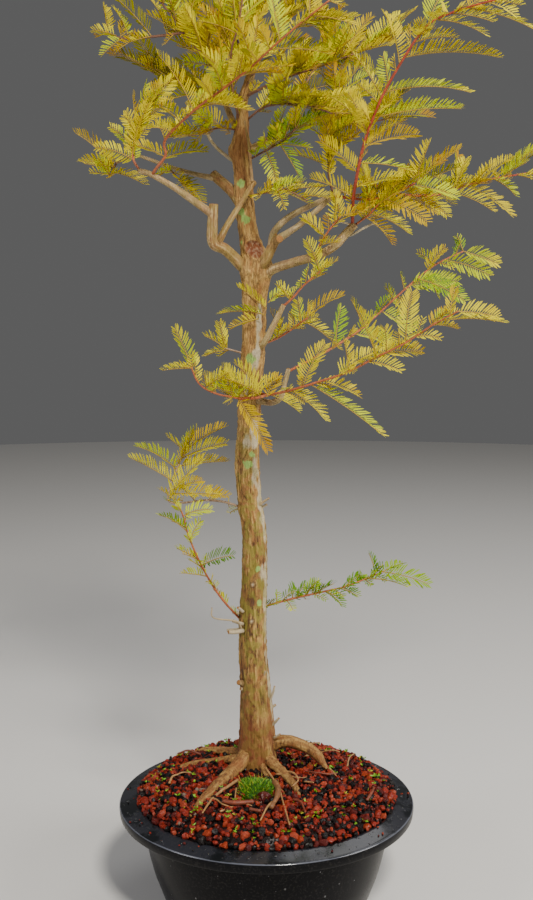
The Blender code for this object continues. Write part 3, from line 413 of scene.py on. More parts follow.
def lattice_noise(x, y, z, seed=0):
    """Smooth noise from -1 to 1 at each of the given places."""
    cell = [np.floor(v).astype(np.int64) for v in (x, y, z)]
    part = [v - c for v, c in zip((x, y, z), cell)]
    ease = [p * p * p * (p * (p * 6 - 15) + 10) for p in part]
    total = np.zeros_like(part[0])
    for corner in range(8):
        bits = [(corner >> k) & 1 for k in range(3)]
        key = seed * SEED_STEP
        for c, b, step in zip(cell, bits, HASH_STEPS):
            key = key ^ ((c + b) * step)
        key = (key ^ (key >> 13)) * HASH_MIX & 0x7FFFFFFF
        value = ((key ^ (key >> 16)) & 0xFFFF) / 32767.5 - 1
        weight = np.ones_like(total)
        for e, b in zip(ease, bits):
            weight = weight * (e if b else 1 - e)
        total += value * weight
    return total


def eased_path(points, values, step):
    """A smooth path through the points every `step` mm: (places, values there)."""
    knots = np.array([tuple(p) for p in points], float)
    values = np.array(values, float)
    if len(knots) == 2:
        count = max(2, int(np.linalg.norm(knots[1] - knots[0]) / step) + 1)
        t = np.linspace(0, 1, count)[:, None]
        return knots[0] + (knots[1] - knots[0]) * t, values[0] + (values[1] - values[0]) * t[:, 0]
    row = np.column_stack([knots, values])
    row = np.vstack([2 * row[0] - row[1], row, 2 * row[-1] - row[-2]])
    out = []
    for a, b, c, d in zip(row, row[1:], row[2:], row[3:]):
        count = max(1, int(round(np.linalg.norm(c[:3] - b[:3]) / step)))
        t = (np.arange(count) / count)[:, None]
        out.append(0.5 * (2 * b + (c - a) * t + (2 * a - 5 * b + 4 * c - d) * t ** 2
                          + (3 * b - a - 3 * c + d) * t ** 3))
    out.append(row[-2][None, :])
    out = np.vstack(out)
    return out[:, :3], out[:, 3]


def eased_limb(start, runs, taper, step):
    """The smooth path of a limb given by its runs, and its radii: (places, radii)."""
    path = walk(start, runs)
    return eased_path(path, tapered(path, taper), step)


def unit(ways):
    """Each row brought to length 1."""
    return ways / np.linalg.norm(ways, axis=1)[:, None]


def ring_frames(places):
    """Two unit vectors across a path at each place, carried along without twist, and the way ahead."""
    ahead = unit(np.gradient(places, axis=0))
    first = np.cross(ahead[0], (0.0, 1.0, 0.0) if abs(ahead[0][1]) < 0.9 else (1.0, 0.0, 0.0))
    first /= np.linalg.norm(first)
    rows = []
    for way in ahead:
        first = first - way * first.dot(way)
        first /= np.linalg.norm(first)
        rows.append(first.copy())
    one = np.array(rows)
    return one, np.cross(ahead, one), ahead


def placed(name, data):
    """A new object with the given data, in the scene."""
    obj = bpy.data.objects.new(name, data)
    bpy.context.scene.collection.objects.link(obj)
    return obj


class Heap:
    """Vertices, faces, material numbers and one mask value per vertex, gathered for one mesh."""

    def __init__(self):
        self.points, self.faces, self.kinds, self.masks, self.count = [], [], [], {}, 0

    def add(self, points, faces=None, kind=0, **masks):
        """Add points (n, 3) in mm, and faces (m, 3 or 4) by their numbers among these points."""
        points = np.asarray(points, float)
        if faces is not None:
            self.join(faces + self.count, kind)
        self.points.append(points)
        for name, value in masks.items():
            self.masks.setdefault(name, []).append(
                (self.count, np.broadcast_to(np.asarray(value, float), (len(points),))))
        self.count += len(points)

    def join(self, faces, kind=0):
        """Add faces between points that the heap has; kind is a number or one per face."""
        self.faces.append(faces)
        self.kinds.append(np.broadcast_to(np.asarray(kind, np.int32), (len(faces),)))

    def add_forms(self, points, faces, kind):
        """Add many small forms alike: points (forms, corners, 3), and the faces that each has."""
        first = self.count + points.shape[1] * np.arange(len(points))[:, None]
        self.add(points.reshape(-1, 3))
        for corners in faces:
            self.join(first + np.array([corners]), kind)

    def piece(self, name, materials, smooth=True):
        """Make the object, in metres."""
        mesh = bpy.data.meshes.new(name)
        points = np.vstack(self.points) * MM
        sizes = np.concatenate([np.full(len(f), f.shape[1], np.int32) for f in self.faces])
        loops = np.concatenate([f.ravel() for f in self.faces]).astype(np.int32)
        mesh.vertices.add(len(points))
        mesh.vertices.foreach_set("co", points.astype(np.float32).ravel())
        mesh.loops.add(len(loops))
        mesh.loops.foreach_set("vertex_index", loops)
        mesh.polygons.add(len(sizes))
        starts = np.concatenate([[0], np.cumsum(sizes)[:-1]]).astype(np.int32)
        mesh.polygons.foreach_set("loop_start", starts)
        mesh.polygons.foreach_set("material_index", np.concatenate(self.kinds).astype(np.int32))
        mesh.polygons.foreach_set("use_smooth", np.full(len(sizes), smooth))
        mesh.update(calc_edges=True)
        mesh.validate()
        for mask, rows in self.masks.items():
            values = np.zeros(len(points), np.float32)
            for start, value in rows:
                values[start:start + len(value)] = value
            mesh.attributes.new(mask, "FLOAT", "POINT").data.foreach_set("value", values)
        obj = placed(name, mesh)
        for material in materials:
            mesh.materials.append(material)
        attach(obj, "root")
        return obj


def band(one, two, around):
    """Quads between two rings, given by the number of each ring's first point."""
    j = np.arange(around)
    k = (j + 1) % around
    return np.column_stack([one + j, one + k, two + k, two + j])


def fan(ring, around, tip, inward=False):
    """Triangles from a ring to one point; inward turns them to face back along the limb."""
    j = np.arange(around)
    k = (j + 1) % around
    a, b = (k, j) if inward else (j, k)
    return np.column_stack([ring + a, ring + b, np.full(around, tip)])


def tube_faces(rings, around):
    """Quads between the rings of a tube."""
    return np.vstack([band(i * around, (i + 1) * around, around) for i in range(rings - 1)])


def tube(heap, places, radii, around, kind=0):
    """A plain tube with pointed ends along places (mm)."""
    one, two, ahead = ring_frames(places)
    turn = np.arange(around) * 2 * np.pi / around
    ring = np.cos(turn)[None, :, None] * one[:, None, :] + np.sin(turn)[None, :, None] * two[:, None, :]
    points = places[:, None, :] + ring * np.asarray(radii)[:, None, None]
    tips = np.array([places[0] - ahead[0] * radii[0] * 0.4, places[-1] + ahead[-1] * radii[-1] * 0.5])
    first = heap.count
    heap.add(np.vstack([points.reshape(-1, 3), tips]), tube_faces(len(places), around), kind)
    heap.join(fan(first, around, heap.count - 2, inward=True), kind)
    heap.join(fan(heap.count - 2 - around, around, heap.count - 1), kind)


# ---------------------------------------------------------------- materials

FLOAT = "NodeSocketFloat"


def group(name, **inputs):
    """A new shader node group with named float inputs and one mask out: (tree, input node, output node)."""
    tree = bpy.data.node_groups.new(name, "ShaderNodeTree")
    for title, value in inputs.items():
        socket = tree.interface.new_socket(title.replace("_", " "), in_out="INPUT", socket_type=FLOAT)
        socket.default_value = value
    tree.interface.new_socket("Mask", in_out="OUTPUT", socket_type=FLOAT)
    return tree, tree.nodes.new("NodeGroupInput"), tree.nodes.new("NodeGroupOutput")


def node(tree, kind, links=(), **settings):
    """A node with its settings, and its inputs set or linked by name or number."""
    made = tree.nodes.new(kind)
    for key, value in settings.items():
        setattr(made, key, value)
    for key, value in links:
        if isinstance(value, bpy.types.NodeSocket):
            tree.links.new(value, made.inputs[key])
        else:
            made.inputs[key].default_value = value
    return made


def maths(tree, operation, *values, clamp=False):
    """The result of a Math node on numbers or sockets."""
    return node(tree, "ShaderNodeMath", enumerate(values), operation=operation, use_clamp=clamp).outputs[0]


def stretch(tree, value, low, high, to_low=0.0, to_high=1.0):
    """The value brought from one range to another, and held inside it."""
    return node(tree, "ShaderNodeMapRange", [("Value", value), ("From Min", low), ("From Max", high),
                                             ("To Min", to_low), ("To Max", to_high)]).outputs["Result"]


def drawn_out_noise(tree, given, detail, roughness):
    """Noise drawn out up the wood by a group's Across and Along."""
    place = node(tree, "ShaderNodeTexCoord")
    scale = node(tree, "ShaderNodeCombineXYZ", [(0, given.outputs["Across"]), (1, given.outputs["Across"]),
                                                (2, given.outputs["Along"])])
    drawn = node(tree, "ShaderNodeVectorMath", [(0, place.outputs["Object"]), (1, scale.outputs[0])],
                 operation="MULTIPLY")
    noise = node(tree, "ShaderNodeTexNoise", [("Vector", drawn.outputs[0]), ("Scale", 1.0),
                                              ("Detail", detail), ("Roughness", roughness)])
    return noise.outputs["Fac"]


def fibre_group():
    """Fine fibres that run up the wood: a mask from 0 to 1."""
    tree, given, out = group("fibres", Across=900.0, Along=90.0)
    tree.links.new(drawn_out_noise(tree, given, 5.0, 0.62), out.inputs["Mask"])
    return tree


def crack_group():
    """Thin cracks that run up the wood, with breaks in them: a mask from 0 to 1."""
    tree, given, out = group("cracks", Across=400.0, Along=40.0, Width=0.04)
    off = maths(tree, "SUBTRACT", drawn_out_noise(tree, given, 2.0, 0.55), 0.5)
    line = stretch(tree, maths(tree, "ABSOLUTE", off), 0.0, given.outputs["Width"], 1.0, 0.0)
    tree.links.new(line, out.inputs["Mask"])
    return tree


def speckle_group():
    """Soft irregular patches of a given size: a mask from 0 to 1."""
    tree, given, out = group("speckle", Size_mm=4.0, Cover=0.5)
    place = node(tree, "ShaderNodeTexCoord")
    scale = maths(tree, "DIVIDE", 1 / MM, given.outputs["Size mm"])
    grain = node(tree, "ShaderNodeTexNoise", [("Vector", place.outputs["Object"]), ("Scale", scale),
                                              ("Detail", 6.0), ("Roughness", 0.6)])
    low = maths(tree, "SUBTRACT", 0.78, given.outputs["Cover"])
    high = maths(tree, "ADD", low, 0.12)
    spread = node(tree, "ShaderNodeMapRange", [("Value", grain.outputs["Fac"]), ("From Min", low),
                                               ("From Max", high)], interpolation_type="SMOOTHSTEP")
    tree.links.new(spread.outputs["Result"], out.inputs["Mask"])
    return tree


FIBRES, SPECKLE, CRACKS = fibre_group(), speckle_group(), crack_group()


def surface(name, **sockets):
    """A material with its own Principled shader and its plain values: (material, tree, shader)."""
    made = bpy.data.materials.new(name)
    made.use_nodes = True
    shader = made.node_tree.nodes["Principled BSDF"]
    for key, value in sockets.items():
        shader.inputs[key.replace("_", " ")].default_value = value
    return made, made.node_tree, shader


def feed(tree, shader, **sockets):
    """Link values that vary over the surface to the shader's sockets."""
    for key, value in sockets.items():
        tree.links.new(value, shader.inputs[key.replace("_", " ")])


def use(tree, shared, **values):
    """Place a shared group in a material with its own values."""
    made = tree.nodes.new("ShaderNodeGroup")
    made.node_tree = shared
    for key, value in values.items():
        made.inputs[key.replace("_", " ")].default_value = value
    return made.outputs["Mask"]


def speckled(tree, size_mm, cover, low=0.0, high=1.0):
    """The speckle mask, from a low value where it is bare to a high one."""
    return stretch(tree, use(tree, SPECKLE, Size_mm=size_mm, Cover=cover), 0.0, 1.0, low, high)


def blend_colour(tree, mask, one, two):
    """one where the mask is 0, two where it is 1; colours are sockets or rgb."""
    ends = [end if isinstance(end, bpy.types.NodeSocket) else (*end, 1.0) for end in (one, two)]
    return node(tree, "ShaderNodeMix", [(0, mask), (6, ends[0]), (7, ends[1])], data_type="RGBA").outputs[2]


def mask_of(tree, name):
    """A mask that the mesh carries."""
    return node(tree, "ShaderNodeAttribute", attribute_name=name).outputs["Fac"]


def bump(tree, shader, height, distance_mm, strength=1.0):
    """Fine relief from a mask, which is not in the mesh."""
    made = node(tree, "ShaderNodeBump", [("Height", height), ("Strength", strength),
                                         ("Distance", distance_mm * MM)])
    feed(tree, shader, Normal=made.outputs["Normal"])


# Ridge, furrow, tone, flush and worn colours of the two barks.
TRUNK_BARK = ((0.430, 0.235, 0.054), (0.036, 0.013, 0.005), (0.225, 0.105, 0.024), (0.31, 0.098, 0.024),
              (0.62, 0.39, 0.115))
THIN_BARK = ((0.410, 0.255, 0.080), (0.14, 0.062, 0.020), (0.260, 0.150, 0.042), (0.33, 0.13, 0.045),
             (0.60, 0.43, 0.19))
# Two sizes of crack: across, along, width and how dark.
CRACK_SIZES = ((300.0, 24.0, 0.04, 0.95), (700.0, 80.0, 0.05, 0.75))
# Colours that the mesh's own masks bring in. The damp colour is a damp stain that also stands for painted
# shade at the trunk's foot.
STAINS_AND_SHADE = {"damp": (0.20, 0.050, 0.013), "pale": (0.50, 0.43, 0.28), "cut": (0.31, 0.135, 0.030)}
ALGAE_FILM = (0.23, 0.205, 0.022)
LICHEN_CRUST = (0.28, 0.43, 0.095)


def bark_material(name, ridge, furrow, tone, flush, worn):
    """Fibrous bark: its colours follow the mesh's relief, with lichen, stains, pale wood and painted shade
    at the trunk's foot.
    """
    made, tree, shader = surface(name)
    fibres = use(tree, FIBRES, Across=620.0, Along=60.0)
    coarse = use(tree, FIBRES, Across=230.0, Along=20.0)
    grooved = mask_of(tree, "furrow")
    base = blend_colour(tree, stretch(tree, coarse, 0.36, 0.64), ridge, tone)
    base = blend_colour(tree, speckled(tree, 14.0, 0.28, high=0.55), base, flush)
    base = blend_colour(tree, stretch(tree, fibres, 0.45, 0.75, 0.0, 0.6), base, tone)
    base = blend_colour(tree, stretch(tree, mask_of(tree, "crest"), 0.15, 1.0, 0.0, 0.85), base, worn)
    dark = maths(tree, "ADD", grooved, stretch(tree, fibres, 0.3, 0.75, 0.3, -0.2), clamp=True)
    base = blend_colour(tree, stretch(tree, dark, 0.25, 1.0, 0.0, 0.85), base, furrow)
    near = stretch(tree, grooved, 0.0, 0.35, 0.6, 1.0)
    for across, lengthways, width, depth in CRACK_SIZES:
        cracks = use(tree, CRACKS, Across=across, Along=lengthways, Width=width)
        lines = maths(tree, "MULTIPLY", cracks, near)
        base = blend_colour(tree, stretch(tree, lines, 0.0, 1.0, 0.0, depth), base, furrow)
    # The damp colour paints shade at the trunk's foot as well as a damp stain.
    for mask, colour in STAINS_AND_SHADE.items():
        base = blend_colour(tree, mask_of(tree, mask), base, colour)
    patches = use(tree, SPECKLE, Size_mm=9.0, Cover=0.34)
    film = maths(tree, "MULTIPLY", mask_of(tree, "algae"), patches, clamp=True)
    base = blend_colour(tree, stretch(tree, film, 0.0, 1.0, 0.0, 0.7), base, ALGAE_FILM)
    frayed = stretch(tree, fibres, 0.2, 0.8, -0.25, 0.25)
    crust = maths(tree, "ADD", mask_of(tree, "lichen"), frayed, clamp=True)
    base = blend_colour(tree, stretch(tree, crust, 0.35, 0.6), base, LICHEN_CRUST)
    feed(tree, shader, Base_Color=base, Roughness=stretch(tree, fibres, 0.0, 1.0, 0.66, 0.92))
    bump(tree, shader, fibres, 1.8)
    return made


def needle_material(name, colour):
    """One autumn tint of needle, plain in colour, with a faint uneven gloss."""
    made, tree, shader = surface(name, Base_Color=(*colour, 1.0), Specular_IOR_Level=0.06)
    feed(tree, shader, Roughness=speckled(tree, 3.0, 0.5, 0.45, 0.68))
    return made


def shoot_material(name, colour, shade):
    """Smooth young bark, with darker flecks."""
    made, tree, shader = surface(name)
    fibres = use(tree, FIBRES, Across=900.0, Along=300.0)
    flecked = blend_colour(tree, speckled(tree, 3.5, 0.4, high=0.7), colour, shade)
    feed(tree, shader, Base_Color=flecked, Roughness=stretch(tree, fibres, 0.0, 1.0, 0.42, 0.7))
    bump(tree, shader, fibres, 0.4, 0.5)
    return made


def grit_material(name, colour, shade):
    """One colour of lava grain: pitted, with dark pores and damp patches."""
    made, tree, shader = surface(name, Specular_IOR_Level=0.25)
    pores = use(tree, SPECKLE, Size_mm=1.6, Cover=0.42)
    pitted = blend_colour(tree, stretch(tree, pores, 0.0, 1.0, 0.0, 0.8), colour, shade)
    feed(tree, shader, Base_Color=pitted, Roughness=speckled(tree, 6.0, 0.45, 0.75, 0.40))
    bump(tree, shader, pores, -0.5, 0.9)
    return made


# The pot is one black plastic. Its upright wall gets a darker black as painted shade and its level top a
# lighter one; the rolled edge gets a lighter grey as a painted highlight.
SHADED_WALL_BLACK = (0.002, 0.002, 0.003)
LIT_FLANGE_BLACK = (0.016, 0.017, 0.023)
EDGE_HIGHLIGHT_GREY = (0.10, 0.108, 0.135)
DUST_GREY = (0.06, 0.055, 0.05)
WET_BLACK = (0.003, 0.004, 0.005)


def pot_material():
    """Black moulded plastic: puddles stand on its level parts, with splashes of dust below. The upright wall
    is a darker black than the level top as painted shade, and the rolled edge has a lighter grey as a
    painted highlight.
    """
    made, tree, shader = surface("black_plastic_wet", Specular_IOR_Level=0.09, Coat_Roughness=0.12)
    normal = node(tree, "ShaderNodeNewGeometry").outputs["Normal"]
    up = node(tree, "ShaderNodeSeparateXYZ", [(0, normal)]).outputs["Z"]
    level = stretch(tree, up, 0.6, 0.9)
    edge = maths(tree, "MULTIPLY", stretch(tree, up, 0.35, 0.6), stretch(tree, up, 0.8, 0.9, 1.0, 0.0))
    wet = maths(tree, "MULTIPLY", use(tree, SPECKLE, Size_mm=30.0, Cover=0.30), level)
    dust = use(tree, SPECKLE, Size_mm=2.2, Cover=0.26)
    # Painted shade: the upright wall darker than the level top.
    base = blend_colour(tree, level, SHADED_WALL_BLACK, LIT_FLANGE_BLACK)
    # Painted highlight: a lighter grey band along the rolled edge, picked by its slope.
    base = blend_colour(tree, edge, base, EDGE_HIGHLIGHT_GREY)
    base = blend_colour(tree, stretch(tree, dust, 0.0, 1.0, 0.0, 0.22), base, DUST_GREY)
    base = blend_colour(tree, wet, base, WET_BLACK)
    dry = stretch(tree, dust, 0.0, 1.0, 0.30, 0.42)
    gloss = node(tree, "ShaderNodeMix", [(0, wet), (2, dry), (3, 0.08)], data_type="FLOAT")
    feed(tree, shader, Base_Color=base, Roughness=gloss.outputs[0],
         Coat_Weight=stretch(tree, up, 0.15, 0.6, 0.05, 0.8))
    bump(tree, shader, use(tree, SPECKLE, Size_mm=1.1, Cover=0.5), 0.05, 0.5)
    return made


def water_material():
    """Standing drops: dark and glossy, not see-through."""
    made, tree, shader = surface("water", Base_Color=(0.02, 0.022, 0.025, 1.0), Coat_Weight=1.0)
    feed(tree, shader, Roughness=speckled(tree, 8.0, 0.5, 0.02, 0.1))
    return made


# ---------------------------------------------------------------- bark

# Swellings on the trunk: height, heading, radius, how far they stand out.
KNOTS = (
    (752, -168, 7.0, 4.2), (753, -12, 6.0, 3.4), (741, -60, 6.0, 1.2), (319, -98, 3.6, 1.6),
    (281, -95, 3.2, 1.2), (555, -65, 4.6, 1.6), (606, -140, 7.0, 1.6), (640, -20, 9.0, 1.8),
    (636, -150, 9.0, 2.2), (625, -40, 9.0, 1.4), (508, -45, 8.0, 1.6), (556, -50, 7.0, 1.8),
    (393, 160, 6.0, 1.2), (276, -150, 6.0, 1.4), (216, -172, 4.0, 1.6), (150, -60, 9.0, 1.4),
    (170, 80, 10.0, 1.2), (345, 60, 8.0, 1.0), (470, 110, 7.0, 1.2), (580, 70, 8.0, 1.4),
    (700, 60, 6.0, 1.6), (200, -100, 6.0, 0.8),
)
BUD_KNOT = 6.0             # knots smaller than this show a pale core and a dark ring
# Lichen: height, heading, radius.
LICHEN = (
    (720, -108, 5.0), (693, -114, 4.0), (685, -90, 5.5), (663, -143, 3.0), (443, -91, 5.5), (452, -70, 3.5),
    (549, -100, 6.0), (660, 70, 6.0), (500, 80, 5.0), (380, 120, 6.0), (300, -62, 4.0), (335, -75, 3.4),
    (255, 40, 5.0), (610, 140, 5.0),
)
# Bare pale wood: height, heading, half width, half height.
PALE = (
    (300, -25, 4.2, 50.0), (205, -22, 3.2, 32.0), (395, -26, 4.2, 40.0), (465, -97, 5.0, 8.0),
    (549, -78, 4.0, 14.0), (472, -58, 4.5, 14.0), (520, -112, 4.0, 12.0), (585, -60, 3.5, 18.0),
    (330, -52, 3.0, 9.0), (435, -52, 3.5, 16.0),
)
SCAR = (656, -75, 9.5)     # the old wound at the main fork: height, heading, radius
# Heights on the trunk from which, and over which, the bark changes.
SMOOTHER_FROM, SMOOTHER_OVER, FURROWS_LEFT = 250, 420, 0.42
WORN_FROM, WORN_OVER = 380, 160
PEELED_FROM, PEELED_OVER = 695, 30
DAMP_SHADE_UP_TO, DAMP_SHADE_OVER = 235, 95
ALGAE_HEIGHT, ALGAE_OVER = 320, 240
# Rings that close a limb: share of its last ring, how far on, how dark.
CUT_RINGS = ((0.86, 0.55, 0.35), (0.7, 0.6, 0.2), (0.45, 0.5, 0.0), (0.2, 0.62, 0.0))
BLUNT_RINGS = ((0.85, 0.45, 0.3), (0.55, 0.8, 0.2), (0.25, 0.95, 0.2))
CUT_DEPTH, BLUNT_DEPTH = 0.25, 0.7
BARK_MASKS = ("damp", "pale", "cut", "lichen", "algae")
# Noise seeds of the trunk's marks.
LICHEN_SEED, PALE_SEED, DAMP_SHADE_SEED, SCAR_SEED = 77, 78, 79, 80
FLARE_LENGTH = 9.0         # over which a limb's root widens into its parent
ROOT_TIP = 0.2
# Kinds of limb: sides, depth of the bark's grain, noise seed of the first one.
Skin = namedtuple("Skin", "sides grain seed")
TRUNK_SKIN, ROOT_SKIN = Skin(116, 1.25, 3), Skin(26, 0.55, 20)
SPUR_SKIN, TWIGLET_SKIN = Skin(14, 0.18, 40), Skin(12, 0.1, 90)
TRUNK_STEP, ROOT_STEP, SPUR_STEP, TWIGLET_STEP, LIMB_STEP = 1.6, 1.3, 1.0, 0.8, 1.2
LIMB_GRAIN, LIMB_SEED = 0.05, 60                     # the grain is a share of the limb's radius
LIMB_SIDES = ((4, 40), (2, 22), (0, 12))             # thicker than this radius: so many sides
# Where a root tapers off, as shares of its length and radius.
ROOT_END, ROOT_END_OVER, ROOT_END_LEAST = 0.8, 0.25, 0.3


def wrapped(angle):
    """An angle in radians brought between -pi and pi."""
    return (angle + np.pi) % (2 * np.pi) - np.pi


def skin_noise(size, turn, level, across, up, seed):
    """Noise over a limb's skin, in lumps `across` mm wide and `up` mm tall."""
    return lattice_noise(size * np.cos(turn) / across, size * np.sin(turn) / across, level / up, seed)


def hairline(noise, width):
    """1 where the noise crosses zero, falling to 0 on both sides."""
    return np.clip(1 - np.abs(noise) / width, 0, 1)


def bark_relief(size, length, turn, grain, seed):
    """Relief (mm), furrow mask and crest mask, from places round and along a limb."""
    x, y = size * np.cos(turn), size * np.sin(turn)
    sway = 2.4 * lattice_noise(x / 14, y / 14, length / 40, seed)
    broad = lattice_noise((x + sway) / 4.4, (y - sway) / 4.4, length / 36, seed + 1)
    fine = lattice_noise((x - sway) / 2.0, (y + sway) / 2.0, length / 13, seed + 2)
    swells = lattice_noise(x / 11, y / 11, length / 34, seed + 3)
    flakes = lattice_noise(x / 1.6, y / 1.6, length / 4.5, seed + 4)
    patch = np.clip(0.7 + lattice_noise(x / 9, y / 9, length / 24, seed + 5), 0.1, 1)
    strands = lattice_noise((x + sway) / 1.3, (y + sway) / 1.3, length / 12, seed + 6)
    grooves = 0.75 * hairline(broad, 0.18) + 0.55 * hairline(fine, 0.26) + 0.4 * hairline(strands, 0.26)
    furrow = patch * np.clip(grooves, 0, 0.95)
    crest = np.clip((1 - furrow) * (0.30 + 0.5 * flakes + 0.9 * strands + 0.5 * swells), 0, 1)
    return grain * (0.9 * swells - 1.15 * furrow + 0.5 * flakes + 0.3), furrow, crest


def raise_mask(masks, name, value):
    """Bring a mask up to a value where it is lower."""
    masks[name] = np.maximum(masks[name], value)


def trunk_marks(level, size, turn, height, furrow, masks, flakes):
    """Knots, lichen, bare wood, scar, algae, and damp with painted shade at the foot, on the trunk: its new
    height and furrows.
    """
    def from_mark(place, heading, wide=1.0, tall=1.0):
        """How far each point of the skin is from a mark's middle."""
        return np.hypot((level - place) / tall, size * wrapped(turn - math.radians(heading)) / wide)

    furrow = furrow * np.clip(1.0 - (level - SMOOTHER_FROM) / SMOOTHER_OVER, FURROWS_LEFT, 1.0)
    clean = np.zeros(turn.shape)
    for place, heading, reach, rise in KNOTS:
        far = from_mark(place, heading)
        height = height + rise * np.exp(-(far / reach) ** 2)
        height = height - 0.5 * rise * np.exp(-(far / (0.35 * reach)) ** 2)
        if reach < BUD_KNOT:
            furrow = np.maximum(furrow, 0.85 * np.exp(-((far - 0.75 * reach) / 1.3) ** 2))
            raise_mask(masks, "pale", 0.8 * np.exp(-(far / (0.4 * reach)) ** 2))
            clean = np.maximum(clean, np.exp(-(far / (1.3 * reach)) ** 4))
    for place, heading, reach in LICHEN:
        ragged = from_mark(place, heading) + 1.6 * skin_noise(size, turn, level, 2.2, 2.2, LICHEN_SEED)
        raise_mask(masks, "lichen", np.clip(1.3 - ragged / reach, 0, 1))
    for place, heading, wide, tall in PALE:
        ragged = from_mark(place, heading, wide, tall)
        ragged = ragged + 0.5 * skin_noise(size, turn, level, 2, 7, PALE_SEED)
        raise_mask(masks, "pale", np.clip((1.15 - ragged) * 2.5, 0, 0.85))
    higher = np.clip((level - WORN_FROM) / WORN_OVER, 0, 1)
    masks["crest"] = np.clip(masks["crest"] + 0.55 * higher * np.clip(0.8 + flakes, 0, 1), 0, 1)
    place, heading, reach = SCAR
    far = from_mark(place, heading)
    inside = np.clip((reach - far) / 1.6, 0, 1)
    crumbs = skin_noise(size, turn, level, 1.5, 1.7, SCAR_SEED)
    rim = 1.7 * np.exp(-((far - reach) / 1.8) ** 2)
    height = height * (1 - inside) + rim + (1.5 * crumbs - 1.4) * inside
    masks["pale"] = masks["pale"] * (1 - inside) + inside * np.clip(crumbs * 1.2 - 0.1, 0, 0.25)
    masks["crest"] = masks["crest"] * (1 - inside)
    furrow = np.maximum(furrow * (1 - inside), 0.9 * inside * np.clip(0.55 - 1.6 * crumbs, 0, 1))
    patches = skin_noise(size, turn, level, 7, 20, DAMP_SHADE_SEED)
    # Darker and redder towards the foot: painted shade where the trunk meets the soil, with a damp stain.
    foot = np.clip(np.clip((DAMP_SHADE_UP_TO - level) / DAMP_SHADE_OVER, 0.1, 0.85) * (0.75 + 1.0 * patches), 0, 0.85)
    peeled = np.clip((level - PEELED_FROM) / PEELED_OVER, 0, 1) * np.clip(0.35 + 1.3 * patches, 0, 0.6)
    masks["damp"] = np.maximum(np.maximum(foot, 0.85 * inside), peeled)
    film = np.clip(0.7 - np.abs(level - ALGAE_HEIGHT) / ALGAE_OVER + 0.5 * np.cos(turn + 1.7), 0.1, 1)
    masks["algae"] = film * (1 - clean)
    return height, furrow


def barked(heap, places, radii, skin, marks=False, flare=0.0, cut=False, grooves=1.0, **given):
    """A limb with bark relief along places (mm); marks adds the trunk's, given sets masks all over it."""
    around, seed = skin.sides, skin.seed
    one, two, ahead = ring_frames(places)
    if marks:
        one = np.broadcast_to((1.0, 0.0, 0.0), places.shape)
        two = np.broadcast_to((0.0, 1.0, 0.0), places.shape)
    travelled = np.concatenate([[0], np.cumsum(np.linalg.norm(np.diff(places, axis=0), axis=1))])
    radii = radii * (1 + flare * np.exp(-travelled / FLARE_LENGTH))
    turn = np.broadcast_to(np.arange(around) * 2 * np.pi / around, (len(places), around))
    length = np.broadcast_to(travelled[:, None], turn.shape)
    size = np.broadcast_to(radii[:, None], turn.shape)
    height, furrow, crest = bark_relief(size, length, turn, skin.grain, seed)
    furrow = furrow * grooves
    masks = {key: np.full(turn.shape, float(given.get(key, 0.0))) for key in BARK_MASKS}
    masks["crest"] = crest
    if marks:
        level = np.broadcast_to(places[:, 2][:, None], turn.shape)
        flakes = skin_noise(size, turn, length, 4, 16, seed + 7)
        height, furrow = trunk_marks(level, size, turn, height, furrow, masks, flakes)
    reach = (size + height)[:, :, None]
    points = places[:, None, :] + reach * (np.cos(turn)[:, :, None] * one[:, None, :]
                                           + np.sin(turn)[:, :, None] * two[:, None, :])
    kept = {key: np.clip(value, 0, 1).ravel() for key, value in {"furrow": furrow, **masks}.items()}
    heap.add(points.reshape(-1, 3), tube_faces(len(places), around), 0, **kept)
    cap_ends(heap, points, places[0] - ahead[0] * ROOT_TIP, ahead[-1], radii[-1], cut)


def cap_ends(heap, points, root_tip, ahead, radius, cut):
    """Close a limb: its root with one fan, its tip with rings that show a cut or a blunt end."""
    around = points.shape[1]
    first = heap.count - points.shape[0] * around
    before = heap.count - around
    clear = {key: 0.0 for key in (*BARK_MASKS, "crest")}
    clear["cut"] = float(cut)
    heap.add(root_tip[None, :], furrow=0.5, **{**clear, "cut": 0.0})
    heap.join(fan(first, around, heap.count - 1, inward=True))
    ring = points[-1]
    middle = ring.mean(axis=0)
    depth = radius * (CUT_DEPTH if cut else BLUNT_DEPTH)
    for share, lift, dark in CUT_RINGS if cut else BLUNT_RINGS:
        heap.add(middle + (ring - middle) * share + ahead * lift * depth, furrow=dark, **clear)
        now = heap.count - around
        heap.join(band(before, now, around))
        before = now
    heap.add(middle[None, :] + ahead[None, :] * depth * lift, furrow=0.3, **clear)
    heap.join(fan(before, around, heap.count - 1))


def trunk_lean(height):
    """The trunk axis's X at a height."""
    heights, leans = [row[0] for row in TRUNK], [row[1] for row in TRUNK]
    return float(np.interp(height, heights, leans))


def seeded(skin, number):
    """The same skin with the noise seed of a later limb."""
    return skin._replace(seed=skin.seed + number)


